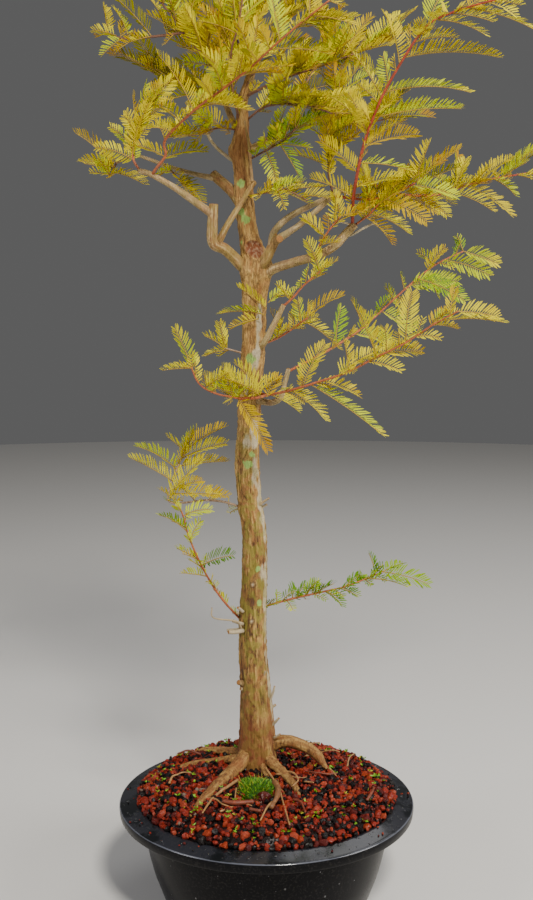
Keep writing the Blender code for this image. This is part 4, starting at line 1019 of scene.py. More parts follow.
def make_trunk():
    """The trunk with its marks, its surface roots and its short spurs."""
    heap = Heap()
    points = [Vector((lean, TRUNK_Y, height)) for height, lean, radius in TRUNK]
    places, radii = eased_path(points, [radius for _, _, radius in TRUNK], TRUNK_STEP)
    barked(heap, places, radii, TRUNK_SKIN, marks=True)
    for i, (start, runs, taper) in enumerate(ROOTS):
        places, radii = eased_limb(start, runs, taper, ROOT_STEP)
        passed = np.arange(len(places))
        end = np.clip(1 - (passed / len(places) - ROOT_END) / ROOT_END_OVER, ROOT_END_LEAST, 1)
        radii = radii * np.where(passed > ROOT_END * len(places), end, 1)
        barked(heap, places, radii, seeded(ROOT_SKIN, i), flare=0.35, grooves=0.55, damp=0.2)
    for i, (height, heading, rise, length, radius) in enumerate(SPURS):
        start = (trunk_lean(height), TRUNK_Y, height - length * math.sin(math.radians(rise)))
        places, radii = eased_limb(start, ((length, heading, rise),), (radius, radius * 0.8), SPUR_STEP)
        barked(heap, places, radii, seeded(SPUR_SKIN, i), cut=True, pale=0.75)
    return heap


CUT_ENDS = ("bough_left_low", "bough_right_front", "bough_left_high", "bough_right_low", "stub_mid")
PALE_LIMBS = {
    "branch_left_low": 0.15, "branch_left_high": 0.3, "twig_dead_left": 0.6, "arm_upper": 0.3,
    "arm_lower": 0.3, "bough_right_low": 0.12, "twig_crossing": 0.1, "stub_mid": 0.15, "hook_mid": 0.3,
}
# Stubs and dead twigs too small for the solids: start, runs, first and last radius, how pale.
TWIGLETS = (
    ((-24, 20, 270), ((12, -135, 4), (7, -150, 8)), (2.3, 2.0), 0.75),
    ((-24, 20, 277), ((11, -135, 22), (4, -146, 26)), (1.7, 1.5), 0.7),
    ((-24, 20, 290), ((10, -129, 36),), (1.7, 1.4), 0.7),
    ((-26, 20, 272), ((14, -118, 46), (25, -160, 14), (11, -140, 78)), (1.2, 0.7), 0.55),
    ((-8, 24, 400), ((14, -26, 34),), (1.3, 1.0), 0.4),
    ((77, 4, 668), ((8, -18, 15), (20, -20, 26), (8, -38, -16)), (1.3, 0.8), 0.9),
    ((61, 0, 681), ((7, -19, 10), (13, -19, -15)), (1.2, 0.9), 0.85),
    ((82, 22, 706), ((7, -17, 15), (11, -25, 9)), (1.9, 1.6), 0.0),
    ((7, 15, 663), ((8, -62, 12), (8, -75, 4)), (4.0, 3.5), 0.0),
    ((-24, 24, 213), ((8, -130, 20),), (3.4, 2.6), 0.1),
    ((3, 24, 193), ((13, -33, 68), (6, -30, 76)), (1.6, 1.0), 0.8),
    ((6, 22, 169), ((12, -33, 47),), (1.5, 1.1), 0.8),
    ((8, 20, 156), ((9, -33, 36),), (1.3, 1.0), 0.7),
    ((-3, 20, 222), ((8, -60, 60),), (1.3, 0.8), 0.6),
)


def make_boughs():
    """The limbs, and the stubs and dead twigs on them."""
    heap = Heap()
    for i, (start, runs, taper, pale) in enumerate(TWIGLETS):
        places, radii = eased_limb(start, runs, taper, TWIGLET_STEP)
        barked(heap, places, radii, seeded(TWIGLET_SKIN, i), grooves=0.4, cut=True, pale=pale)
    for i, (name, start, runs, taper) in enumerate(LIMBS):
        places, radii = eased_limb(start, runs, taper, LIMB_STEP)
        sides = next(count for least, count in LIMB_SIDES if taper[0] > least)
        skin = Skin(sides, LIMB_GRAIN * taper[0], LIMB_SEED + i)
        barked(heap, places, radii, skin, flare=0.3, grooves=0.7, cut=name in CUT_ENDS,
               pale=PALE_LIMBS.get(name, 0.0), algae=0.35)
    return heap


# ---------------------------------------------------------------- foliage

TINTS = {
    "gold": (0.57, 0.460, 0.001), "straw": (0.64, 0.560, 0.002), "amber": (0.50, 0.340, 0.001),
    "ochre": (0.38, 0.215, 0.003), "rust": (0.34, 0.105, 0.006), "olive": (0.31, 0.285, 0.002),
    "lime": (0.46, 0.520, 0.002), "leaf": (0.22, 0.350, 0.003), "green": (0.10, 0.220, 0.004),
    "shade": (0.17, 0.145, 0.006),
}
TINT_NAMES = list(TINTS)
# How often each mix draws a tint.
MIXES = {
    "crown": (("gold", 9), ("straw", 6), ("amber", 2), ("olive", 3), ("lime", 4)),
    "warm": (("amber", 4), ("gold", 6), ("ochre", 2), ("rust", 1), ("straw", 2)),
    "yellow": (("gold", 6), ("straw", 5), ("lime", 2), ("amber", 1)),
    "fresh": (("lime", 6), ("leaf", 3), ("gold", 2), ("green", 1)),
    "green": (("leaf", 4), ("green", 6), ("lime", 1)),
    # The back's mix draws olive and the dark shade tint: painted shade on the sprays at the back of the
    # crown.
    "deep": (("olive", 5), ("amber", 3), ("shade", 3), ("gold", 3)),
}
TIP_TINT = {"gold": "amber", "straw": "gold", "amber": "ochre", "ochre": "rust", "rust": "rust",
            "olive": "ochre", "lime": "straw", "leaf": "lime", "green": "leaf", "shade": "ochre"}
TIP_FROM = (0.55, 1.3)     # where along a spray the tip's tint starts, as a share (past 1: nowhere)
TIP_SCATTER = 0.06
# Region: its masses, each with its mix of tints, shoot colour and finer sprays to add.
REGIONS = {
    "lower": {
        "sprays_low_right": ("green", "orange", 6), "sprays_low_left": ("fresh", "orange", 5),
        "sprays_mid_left": ("yellow", "pale", 6), "sprays_front_right": ("yellow", "orange", 9),
        "sprays_front_left": ("yellow", "orange", 8), "sprays_mid_right": ("fresh", "orange", 6),
        "sprays_mid_small": ("yellow", "orange", 4), "sprays_mid_inner": ("yellow", "orange", 5),
        "sprays_trunk_side": ("crown", "pale", 1),
    },
    "left": {
        "sprays_left_sweep": ("crown", "orange", 24), "sprays_left_fan": ("yellow", "orange", 12),
        "sprays_left_tip": ("crown", "brown", 6), "sprays_left_droop": ("crown", "brown", 5),
        "sprays_upper_left": ("crown", "brown", 22), "sprays_trunk_left": ("crown", "brown", 6),
        "sprays_centre_low": ("crown", "brown", 8),
    },
    "right": {
        "sprays_right_fan": ("yellow", "red", 14), "sprays_right_long": ("crown", "red", 18),
        "sprays_right_red": ("crown", "red", 16), "sprays_right_inner": ("crown", "brown", 18),
        "sprays_right_low": ("crown", "orange", 6), "sprays_centre_orange": ("warm", "orange", 4),
    },
    "top": {
        "sprays_upright_left": ("crown", "brown", 22), "sprays_top_right": ("crown", "brown", 28),
        "sprays_leader": ("crown", "brown", 22), "sprays_trunk_right": ("crown", "brown", 20),
        "sprays_centre_green": ("fresh", "brown", 10),
    },
    # The sprays at the back take the darker mix: painted shade.
    "back": {
        "sprays_back_left": ("deep", "brown", 10), "sprays_back_left_top": ("deep", "brown", 10),
        "sprays_back_right": ("deep", "brown", 12), "sprays_back_right_top": ("deep", "brown", 10),
        "sprays_back_high": ("deep", "brown", 10), "sprays_back_high_left": ("deep", "brown", 10),
    },
}
# Young bark: its colour and the colour of its flecks; "rib" is the spray's own green shoot.
SHOOTS = {
    "orange": ((0.50, 0.125, 0.030), (0.26, 0.07, 0.025)),
    "red": ((0.46, 0.060, 0.018), (0.22, 0.03, 0.015)),
    "brown": ((0.24, 0.105, 0.050), (0.12, 0.05, 0.03)),
    "pale": ((0.42, 0.30, 0.19), (0.24, 0.14, 0.08)),
    "rib": ((0.42, 0.290, 0.020), (0.30, 0.17, 0.02)),
}
SHOOT_NAMES = list(SHOOTS)
# Masses whose flats face outwards: the roll of their sprays, and how far it strays.
FACING = {"sprays_left_fan": -88, "sprays_mid_right": -70}
FACING_SPREAD = 16
# Millimetres from one tuft to the next along a stem.
TUFT_STEP = {"sprays_low_right": 7.0, "sprays_low_left": 18.0, "others": 26.0}
TUFT_LENGTH, TUFT_TURN, TUFT_RISE = (8, 20), (25, 80), (-50, 45)
# Sprays from the twigs that cross in front of the trunk: root, length, heading, rise.
CROSSING = {
    "sprays_mid_small": (((0, 14, 598), 36, 170, 34), ((-2, 12, 592), 44, 186, -6),
                         ((-8, 12, 588), 30, 200, -22), ((2, 13, 604), 24, 40, 20)),
    "sprays_front_left": (((-6, 0, 514), 40, 178, 42), ((-20, 0, 512), 38, 186, 48),
                          ((-12, -2, 511), 34, 20, 28), ((-30, 0, 513), 34, 196, 12),
                          ((-4, -2, 511), 46, 200, 20)),
    "sprays_front_right": (((4, 0, 514), 36, 30, -34), ((0, -2, 512), 30, 60, 36)),
}
CROSS_STEM = ((-27, 3, 510), (-12, -3, 511), (3, 2, 514))
CROSS_STEM_RADIUS, CROSS_STEM_STEP = 1.5, 2.0
STEM_SIDES, STEM_STEP, STEM_SHARE = 8, 3.0, 0.82     # the share is of the solid stem's radius

# A spray's needles: pairs along the rib, the longest, its share of the spray, the lift of the V.
PAIR_STEP, LEAST_PAIRS = 2.5, 5
LONG_NEEDLE, NEEDLE_LEAST, NEEDLE_OF_LENGTH = 14.5, 4.0, 0.24
V_LIFT, V_FLATTER, V_SCATTER = (22, 56), 0.35, 0.10
HAND_STARTS = {-1: 0.3, 1: 0.75}     # the two ranks stand in turn, not in pairs
LEAN_FIRST, LEAN_LESS, LEAN_SCATTER = 68, 26, 5
RIB_RADIUS, RIB_TIP, RIB_THINNING, RIB_SIDES, RIB_STEP, RIB_BEND = 0.55, 0.1, 0.62, 4, 3, 16
# A needle's outline: where it is widest, where it bends, how far its blunt end and tip run on.
NEEDLE_HALF, FULL_WIDTH_LENGTH, NEEDLE_WIDTHS = 0.65, 9, (0.62, 1.08)
WIDEST_AT, BENDS_AT, BLUNT_ON, TIP_ON, BLUNT_WIDTH = 0.30, 0.55, 0.27, 0.45, 0.92
NEEDLE_FACES = ((0, 1, 2), (1, 3, 4, 2), (3, 5, 4))

# Finer sprays: tries for each, how many stand on the main stem, where they start, and their turns.
FINER_TRIES, ON_MAIN_STEM, FINER_FROM = 4, 0.75, 0.16
FINER_TURN, FINER_RISE, FINER_RISE_KEPT, FINER_LENGTH = (30, 95), (-30, 36), 0.5, (0.6, 0.95)
SPACE_MARGIN = 2
THIRD_TURN = 2.0944     # between the corners of the solids' three-sided stems


def needle_share(t):
    """A needle's length at a fraction of its spray, against the longest."""
    return np.clip(0.66 + 1.7 * t, 0, 1) * (1 - 0.58 * np.clip((t - 0.55) / 0.45, 0, 1) ** 1.6)


def spray_line(shape, bend):
    """A spray's rib as arrays: t, place, ahead, side and normal at each."""
    root, length, heading, rise, droop, roll = shape
    teeth = LONG_TEETH if length > LONG_SPRAY else SHORT_TEETH
    count = max(6, int(length / RIB_STEP))
    t = np.linspace(0, 1, count + 1)
    pitch = np.radians(rise + droop * (0.5 + 0.5 / teeth - t))
    yaw = np.radians(heading + bend * (t - 0.35))
    ahead = np.column_stack([np.cos(yaw) * np.cos(pitch), np.sin(yaw) * np.cos(pitch), np.sin(pitch)])
    steps = (ahead[1:] + ahead[:-1]) / 2 * (length / count)
    place = np.vstack([[tuple(root)], np.array(tuple(root)) + np.cumsum(steps, axis=0)])
    across = np.column_stack([-np.sin(yaw), np.cos(yaw), np.zeros_like(yaw)])
    side = across * math.cos(roll) + np.cross(across, ahead) * math.sin(roll)
    return t, place, ahead, side, np.cross(ahead, side)


def read_at(at, t, rows):
    """Rows that belong to the fractions t, read at other fractions."""
    return np.column_stack([np.interp(at, t, rows[:, k]) for k in range(3)])


def add_spray(leaves, wood, shape, tint, dice):
    """One spray: a thin rib and two ranks of flat blunt needles, raised to a shallow V."""
    length = shape[1]
    t, *rib = spray_line(shape, dice.uniform(-RIB_BEND, RIB_BEND))
    noise = np.random.default_rng(dice.randrange(1 << 30))
    tube(wood, rib[0], RIB_RADIUS * (1 - RIB_THINNING * t) + RIB_TIP, RIB_SIDES, SHOOT_NAMES.index("rib"))
    pairs = max(LEAST_PAIRS, int(length / PAIR_STEP))
    reach = min(LONG_NEEDLE, NEEDLE_OF_LENGTH * length + NEEDLE_LEAST)
    lift = math.tan(math.radians(dice.uniform(*V_LIFT)))
    main, tip, tip_from = tint
    for hand, start in HAND_STARTS.items():
        at = np.clip((np.arange(pairs) + start) / pairs * 0.95 + 0.05, 0, 1)
        root, way, out, up = [read_at(at, t, rows) for rows in rib]
        out = out * hand
        size = reach * needle_share(at) * noise.uniform(0.9, 1.1, pairs)
        lean = np.radians(LEAN_FIRST - LEAN_LESS * at + noise.normal(0, LEAN_SCATTER, pairs))[:, None]
        raised = (lift * (1 - V_FLATTER * at) + noise.normal(0, V_SCATTER, pairs))[:, None]
        toward = way * np.cos(lean) + (out + up * raised) / np.sqrt(1 + raised ** 2) * np.sin(lean)
        bent = unit(toward + way * 0.30)
        flat = unit(np.cross(toward, up - out * 0.3 * raised + noise.normal(0, 0.25, (pairs, 3))))
        half = (NEEDLE_HALF * np.clip(size / FULL_WIDTH_LENGTH, *NEEDLE_WIDTHS))[:, None]
        size = size[:, None]
        low = root + toward * size * WIDEST_AT
        bend = root + toward * size * BENDS_AT
        high = bend + bent * size * BLUNT_ON
        points = np.stack([root, low - flat * half, low + flat * half, high - flat * half * BLUNT_WIDTH,
                           high + flat * half * BLUNT_WIDTH, bend + bent * size * TIP_ON], axis=1)
        kind = np.where(at + noise.normal(0, TIP_SCATTER, pairs) > tip_from, tip, main)
        leaves.add_forms(points, NEEDLE_FACES, kind)


def tint_for(mix, dice):
    """(tint number, number for the tip, where the tip's tint starts)."""
    main = dice.choice([name for name, share in MIXES[mix] for _ in range(share)])
    return TINT_NAMES.index(main), TINT_NAMES.index(TIP_TINT[main]), dice.uniform(*TIP_FROM)


def finer_sprays(branches, sprays, count, low, high, solid, dice):
    """More sprays on the stems, shorter, kept inside the mass's space and off the limbs."""
    lengths = [shape[1] for shape in sprays]
    kept = []
    for _ in range(count * FINER_TRIES):
        if len(kept) == count:
            break
        points, _ = branches[0] if dice.random() < ON_MAIN_STEM else branches[-1]
        place, ahead = along(points, path_length(points) * dice.uniform(FINER_FROM, 1.0))
        heading, rise = bearing(ahead)
        heading += dice.choice((-1, 1)) * dice.uniform(*FINER_TURN)
        rise = rise * FINER_RISE_KEPT + dice.uniform(*FINER_RISE)
        length = dice.choice(lengths) * dice.uniform(*FINER_LENGTH)
        shape = (place, length, heading, rise, *droop_and_roll(dice))
        vertices, faces = spray_blade(*shape)
        inside = all(a - SPACE_MARGIN <= c <= b + SPACE_MARGIN
                     for v in vertices for c, a, b in zip(v, low, high))
        tree = BVHTree.FromPolygons(vertices, faces)
        if inside and not any(tree.overlap(other) for other in solid):
            kept.append(shape)
    return kept


def tufts(branches, step, dice):
    """Short side shoots of a few needles, close along a mass's stems."""
    for points, _ in branches:
        total = path_length(points)
        distance = dice.uniform(0.2, 1.0) * step
        while distance < total:
            place, ahead = along(points, distance)
            heading, rise = bearing(ahead)
            heading += dice.choice((-1, 1)) * dice.uniform(*TUFT_TURN)
            rise += dice.uniform(*TUFT_RISE)
            yield place, dice.uniform(*TUFT_LENGTH), heading, rise, *droop_and_roll(dice)
            distance += step * dice.uniform(0.5, 1.5)


def node_tree_mm(name):
    """A CAD node's faces in millimetres, for the touch test."""
    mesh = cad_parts[name].data
    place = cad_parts[name].matrix_world
    return BVHTree.FromPolygons([place @ v.co / MM for v in mesh.vertices],
                                [tuple(p.vertices) for p in mesh.polygons])


def stem_tree(branches, taper):
    """The touch test's shape of a mass's stems: three-sided bars."""
    vertices, faces = [], []
    for points, _ in branches:
        radii = tapered(points, taper)
        for a, b, ra, rb in zip(points, points[1:], radii, radii[1:]):
            ahead = (b - a).normalized()
            one = ahead.orthogonal().normalized()
            two = ahead.cross(one)
            start = len(vertices)
            for end, radius in ((a, ra), (b, rb)):
                vertices += [end + radius * (one * math.cos(k * THIRD_TURN) + two * math.sin(k * THIRD_TURN))
                             for k in range(3)]
            for k in range(3):
                after = (k + 1) % 3
                faces.append((start + k, start + after, start + 3 + after, start + 3 + k))
    return BVHTree.FromPolygons(vertices, faces)


def dress_mass(leaves, wood, name, dress, branches, taper, sprays, solid):
    """A mass's own sprays, finer sprays and tufts, with the stems they stand on."""
    mix, shoot, more = dress
    dice = random.Random("looks of " + name)
    low, high = [[c / MM for c in corner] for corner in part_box(name)]
    extra = finer_sprays(branches, sprays, more, low, high, solid.values(), dice)
    step = TUFT_STEP.get(name, TUFT_STEP["others"])
    for shape in sprays + extra + list(tufts(branches, step, dice)):
        if name in FACING:
            roll = math.radians(FACING[name] + dice.uniform(-FACING_SPREAD, FACING_SPREAD))
            shape = (*shape[:5], roll)
        add_spray(leaves, wood, shape, tint_for(mix, dice), dice)
    for row in CROSSING.get(name, ()):
        add_spray(leaves, wood, (*row, *droop_and_roll(dice)), tint_for(mix, dice), dice)
    for points, _ in branches:
        places, radii = eased_path(points, tapered(points, taper), STEM_STEP)
        tube(wood, places, radii * STEM_SHARE, STEM_SIDES, SHOOT_NAMES.index(shoot))


def make_foliage():
    """Needles and shoots, one piece of each for every region of the tree."""
    solid = {name: node_tree_mm(name) for name in ["trunk"] + [row[0] for row in LIMBS]}
    taken = list(solid.items())
    grown = []
    for name, start, runs, taper, sprays, *twigs in MASSES:
        points = walk(start, runs)
        branches = [(points, sprays)]
        for distance, twig_runs, twig_sprays in twigs:
            branches.append((walk(along(points, distance)[0], twig_runs), twig_sprays))
        taken.append((name, stem_tree(branches, taper)))
        grown.append((name, branches, taper))
    shapes = {}
    for number, (name, branches, _) in enumerate(grown):
        shapes[name] = grown_sprays(number, name, branches, taken)
    tints = [needle_material("needle_" + key, colour) for key, colour in TINTS.items()]
    woods = [shoot_material("shoot_" + key, *pair) for key, pair in SHOOTS.items()]
    for region, names in REGIONS.items():
        leaves, wood = Heap(), Heap()
        for name, branches, taper in grown:
            if name in names:
                dress_mass(leaves, wood, name, names[name], branches, taper, shapes[name], solid)
        if region == "lower":
            places, radii = eased_path(CROSS_STEM, [CROSS_STEM_RADIUS] * len(CROSS_STEM), CROSS_STEM_STEP)
            tube(wood, places, radii, STEM_SIDES, SHOOT_NAMES.index("orange"))
        needles = leaves.piece("needles_" + region, tints)
        shoots = wood.piece("shoots_" + region, woods)
        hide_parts(*names)
        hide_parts(*names)


# ---------------------------------------------------------------- pot and soil

POT_SIDES, DRAIN_SIDES = 144, 32
POT_SHARP = 32               # degrees between faces from which an edge stays sharp
EDGE_TURNS = range(0, 91, 15)
# The rounded crest inside the flange, out and up from its top.
CREST_ROUND = ((-3.2, -1.4), (-2.2, -0.3), (0, 0), (1.2, -0.3))
POT_FLOOR = 90               # radius of the level floor inside


def turned(name, profile, steps):
    """A smooth turned mesh from a profile of (radius, height) in mm."""
    mesh = bpy.data.meshes.new(name)
    mesh.from_pydata([(radius * MM, 0.0, height * MM) for radius, height in profile],
                     [(i, i + 1) for i in range(len(profile) - 1)], [])
    obj = placed(name, mesh)
    screw = obj.modifiers.new("turn", "SCREW")
    screw.steps = screw.render_steps = steps
    screw.use_merge_vertices = True
    screw.merge_threshold = 0.00001
    return obj


def apply_modifiers(obj):
    """Make the object's modifiers into its mesh."""
    bpy.context.view_layer.update()
    mesh = bpy.data.meshes.new_from_object(obj.evaluated_get(bpy.context.evaluated_depsgraph_get()))
    obj.modifiers.clear()
    obj.data = mesh


def pot_profile():
    """The pot's section from the middle of its floor, over the rim, to the middle of its foot."""
    edge = POT_HEIGHT - FLANGE_FALL
    lip = edge - LIP_DEPTH
    inside = [(0, POT_WALL), (POT_FLOOR, POT_WALL)]
    inside += [(r - POT_WALL, max(z, POT_WALL)) for r, z in WALL_OUTLINE[1:]]
    flange = [(CREST_RADIUS + out, POT_HEIGHT + up) for out, up in CREST_ROUND]
    flange.append((RIM_RADIUS - 3.6, edge + 1.05))
    rolled = []
    for turn in map(math.radians, EDGE_TURNS):
        rolled.append((RIM_RADIUS - EDGE_ROLL * (1 - math.sin(turn)),
                       edge + 0.9 - EDGE_ROLL * (1 - math.cos(turn))))
    hem = [(RIM_RADIUS, edge - 3.2), (RIM_RADIUS - 0.5, lip + 1.0), (RIM_RADIUS - 1.2, lip),
           (RIM_RADIUS - 2.6, lip), (RIM_RADIUS - 3.2, lip + 1), (RIM_RADIUS - 4, edge - 2.6)]
    places, _ = eased_path([(r, 0, z) for r, z in reversed(WALL_OUTLINE)], [0] * len(WALL_OUTLINE), 3.0)
    wall = [(max(0.0, p[0]), p[2]) for p in places]
    return inside + flange + rolled + hem + wall + [(FOOT_RADIUS, 0), (0, 0)]


def make_pot():
    """The pot: one turned skin with its drain holes cut through the floor."""
    pot = turned("pot_skin", pot_profile(), POT_SIDES)
    apply_modifiers(pot)
    drills = []
    for i in range(DRAIN_HOLES):
        angle = 2 * math.pi * i / DRAIN_HOLES
        place = (DRAIN_CIRCLE * MM * math.cos(angle), DRAIN_CIRCLE * MM * math.sin(angle), 0)
        bpy.ops.mesh.primitive_cylinder_add(vertices=DRAIN_SIDES, radius=DRAIN_RADIUS * MM,
                                            depth=4 * POT_WALL * MM, location=place)
        drills.append(bpy.context.object)
        cut = pot.modifiers.new("drain", "BOOLEAN")
        cut.operation = "DIFFERENCE"
        cut.object = drills[-1]
    apply_modifiers(pot)
    for drill in drills:
        bpy.data.objects.remove(drill, do_unlink=True)
    pot.data.materials.clear()
    pot.data.materials.append(pot_material())
    pot.data.shade_smooth()
    pot.data.set_sharp_from_angle(angle=math.radians(POT_SHARP))
    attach(pot, "root")
    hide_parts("pot")


def ground_at(x, y):
    """The soil's height at a place, heaps and all."""
    level = float(np.interp(math.hypot(x, y), [r for r, _ in MOUND], [z for _, z in MOUND]))
    share = min(1.0, max(0.0, (level - MOUND[-1][1]) / HEAP_WIDE))
    wave = math.sin(x / HEAP_WIDE + 1.3 * math.sin(y / HEAP_WIDE)) * math.cos(y / HEAP_WIDE - 0.6)
    return level + HEAP_HIGH * share * wave


def flange_at(radius):
    """The flange's height at a radius."""
    return POT_HEIGHT - FLANGE_FALL * (radius - CREST_RADIUS) / (RIM_RADIUS - CREST_RADIUS)


def on_circle(radius, angle, height):
    """A place from a radius, an angle in radians and a height."""
    return radius * math.cos(angle), radius * math.sin(angle), height


TRUNK_FOOT = (-12, 30)
MOSS_CLEAR = (16, 23)        # the moss cushion's half widths, as the grains see it


def in_moss(x, y):
    """Whether a place on the soil lies under the moss cushion."""
    return math.hypot((x - MOSS_PLACE[0]) / MOSS_CLEAR[0], (y - MOSS_PLACE[1]) / MOSS_CLEAR[1]) < 1


def from_trunk(x, y):
    """How far a place on the soil is from the middle of the trunk's foot."""
    return math.hypot(x - TRUNK_FOOT[0], y - TRUNK_FOOT[1])


def unit_ball(detail):
    """A ball of radius 1: its points and faces as arrays."""
    shell = bmesh.new()
    bmesh.ops.create_icosphere(shell, subdivisions=detail, radius=1.0)
    points = np.array([tuple(v.co) for v in shell.verts])
    faces = np.array([[v.index for v in f.verts] for f in shell.faces])
    shell.free()
    return points, faces


FLATS = 7                    # flattened faces on one lump
FLAT_LEVELS = (0.45, 0.85)   # how far out from the middle they lie
FLATTENED = 0.92
PITTED = 0.05


def lumps(seed, count, detail):
    """Unit lumps of rock with flattened faces: a list of (points, faces)."""
    noise = np.random.default_rng(seed)
    points, faces = unit_ball(detail)
    made = []
    for _ in range(count):
        shaped = points.copy()
        for _ in range(FLATS):
            way = noise.normal(0, 1, 3)
            way /= np.linalg.norm(way)
            over = np.maximum(0, shaped @ way - noise.uniform(*FLAT_LEVELS))
            shaped -= over[:, None] * way * FLATTENED
        shaped *= 1 + noise.normal(0, PITTED, (len(points), 1))
        made.append((shaped, faces))
    return made


def turned_by(noise):
    """A random rotation matrix."""
    a = noise.normal(0, 1, 4)
    w, x, y, z = a / np.linalg.norm(a)
    return np.array([[1 - 2 * (y * y + z * z), 2 * (x * y - z * w), 2 * (x * z + y * w)],
                     [2 * (x * y + z * w), 1 - 2 * (x * x + z * z), 2 * (y * z - x * w)],
                     [2 * (x * z - y * w), 2 * (y * z + x * w), 1 - 2 * (x * x + y * y)]])


# Lava: colour, colour of its pores, share of the grains.
GRIT = (
    ("brick", (0.40, 0.036, 0.015), (0.15, 0.011, 0.005), 29),
    ("wine", (0.15, 0.013, 0.008), (0.05, 0.005, 0.004), 23),
    ("coal", (0.010, 0.004, 0.003), (0.004, 0.003, 0.003), 28),
    ("rose", (0.52, 0.085, 0.032), (0.22, 0.030, 0.014), 9),
    ("rust", (0.50, 0.070, 0.016), (0.19, 0.020, 0.007), 10),
    ("ash", (0.34, 0.26, 0.20), (0.14, 0.09, 0.07), 1),
)
WINE = 1
# The bed under the grains: near black, painted shade in the gaps between them.
GAP_SHADE_BED = ((0.020, 0.007, 0.005), (0.006, 0.003, 0.003))
ROW_STEP = 5.4               # from one grain of the lowest layer to the next
ROW_CLOSER = 0.86            # rows stand closer than the grains of one row
LAYERS, LAYER_SHARES = (1, 2, 3), (0.4, 0.4, 0.2)
LAYER_RISE = 1.6
GRAIN_SIZES, GRAIN_SHARES = (2.4, 3.1, 3.9, 4.8), (0.30, 0.34, 0.25, 0.11)
CRUMB_SIZES = (1.1, 2.6)
GRAIN_STRETCH = (0.7, 1.2)
ROW_SCATTER, LAYER_SCATTER = 1.5, 2.6
SOIL_EDGE = CREST_RADIUS - 2
TRUNK_CLEAR = 17             # no grains this near the middle of the trunk's foot
# Clods under the moss: place and size.
CLODS = ((-2, -63, 124, 8.0), (-15, -61, 123, 6.5), (8, -55, 124, 6.0))
SPILLED, SPILLED_SIZES = 46, (0.7, 1.7)
# Lumps to pick from: noise seed, how many, detail.
ROCK_SHAPES, BIT_SHAPES = (11, 18, 2), (12, 12, 1)
GRIT_SEED, MOSS_SEED, WEED_SEED, DROP_SEED = 5, 9, 12, 21


def make_grit():
    """Loose lava grains on the mound, with crumbs among and over them and a few on the flange; the soil
    under them is near black, as painted shade in their gaps.
    """
    noise = np.random.default_rng(GRIT_SEED)
    rocks, bits = lumps(*ROCK_SHAPES), lumps(*BIT_SHAPES)
    shares = np.array([row[3] for row in GRIT], float)
    shares /= shares.sum()
    grains, crumbs = Heap(), Heap()

    def drop(heap, shapes, place, size, kind=None):
        """Put down one lump, turned at random, of a random colour unless kind is given."""
        shape, faces = shapes[noise.integers(len(shapes))]
        points = (shape * noise.uniform(*GRAIN_STRETCH, 3) * size) @ turned_by(noise).T + place
        heap.add(points, faces, noise.choice(len(GRIT), p=shares) if kind is None else kind)

    radius = 0.0
    while radius < SOIL_EDGE:
        around = max(1, int(2 * np.pi * radius / ROW_STEP))
        for k in range(around):
            angle = 2 * np.pi * (k + noise.uniform(-0.45, 0.45)) / around
            for layer in range(int(noise.choice(LAYERS, p=LAYER_SHARES))):
                size = noise.uniform(*CRUMB_SIZES) if layer else noise.choice(GRAIN_SIZES, p=GRAIN_SHARES)
                astray = radius + noise.normal(0, ROW_SCATTER) + layer * noise.normal(0, LAYER_SCATTER)
                x, y, _ = on_circle(min(abs(astray), SOIL_EDGE - 0.3 * size), angle, 0)
                if from_trunk(x, y) < TRUNK_CLEAR or in_moss(x, y):
                    continue
                place = (x, y, ground_at(x, y) + size * 0.2 + layer * LAYER_RISE)
                drop(crumbs if layer else grains, bits if layer else rocks, place, size)
        radius += ROW_STEP * ROW_CLOSER
    for *place, size in CLODS:
        drop(grains, rocks, place, size, WINE)
    for _ in range(SPILLED):
        angle, r = noise.uniform(0, 2 * np.pi), noise.uniform(CREST_RADIUS + 1, RIM_RADIUS - 3)
        size = noise.uniform(*SPILLED_SIZES)
        drop(crumbs, bits, on_circle(r, angle, flange_at(r) + size * 0.45), size)
    colours = [grit_material("lava_" + name, colour, shade) for name, colour, shade, _ in GRIT]
    for name, heap in (("lava_grains", grains), ("lava_crumbs", crumbs)):
        heap.piece(name, colours, smooth=False)
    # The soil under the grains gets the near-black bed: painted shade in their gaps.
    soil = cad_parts["soil"]
    soil.data.materials.clear()
    soil.data.materials.append(grit_material("grit_bed_painted_shade", *GAP_SHADE_BED))


BLADE_FACES = ((0, 1, 3, 2), (2, 3, 4))


def blades(heap, roots, ways, long, half, noise, kind):
    """Small pointed blades from roots along ways, each bent once (arrays in mm)."""
    count = len(roots)
    flat = unit(np.cross(ways, noise.normal(0, 1, (count, 3))))
    long = np.broadcast_to(np.asarray(long, float), (count,))[:, None]
    half = np.broadcast_to(np.asarray(half, float), (count,))[:, None]
    bent = ways + noise.normal(0, 0.25, (count, 3))
    middle = roots + ways * long * 0.5
    points = np.stack([roots - flat * half * 0.5, roots + flat * half * 0.5,
                       middle - flat * half, middle + flat * half, middle + bent * long * 0.5], axis=1)
    heap.add_forms(points, BLADE_FACES, kind)


def leafy_materials(name, greens, share):
    """A material for each green, flecked with a darker share of it."""
    return [shoot_material(name + key, colour, [c * share for c in colour]) for key, colour in greens]


MOSS_GREENS = (("deep", (0.030, 0.120, 0.008)), ("fresh", (0.100, 0.320, 0.012)),
               ("bright", (0.28, 0.52, 0.018)), ("stray", (0.50, 0.46, 0.04)))
MOSS_SHARES = (0.25, 0.43, 0.32)
STRAY = 3
MOSS_SIDES, MOSS_ROWS, MOSS_SINK = 48, 14, -1.5
MOSS_BLADES, MOSS_LENGTHS, MOSS_HALF, MOSS_ROOTED = 2600, (2.0, 4.6), 0.38, -1.2
STRAYS, STRAY_LENGTHS, STRAY_HALF = 60, (5.0, 9.0), 0.34


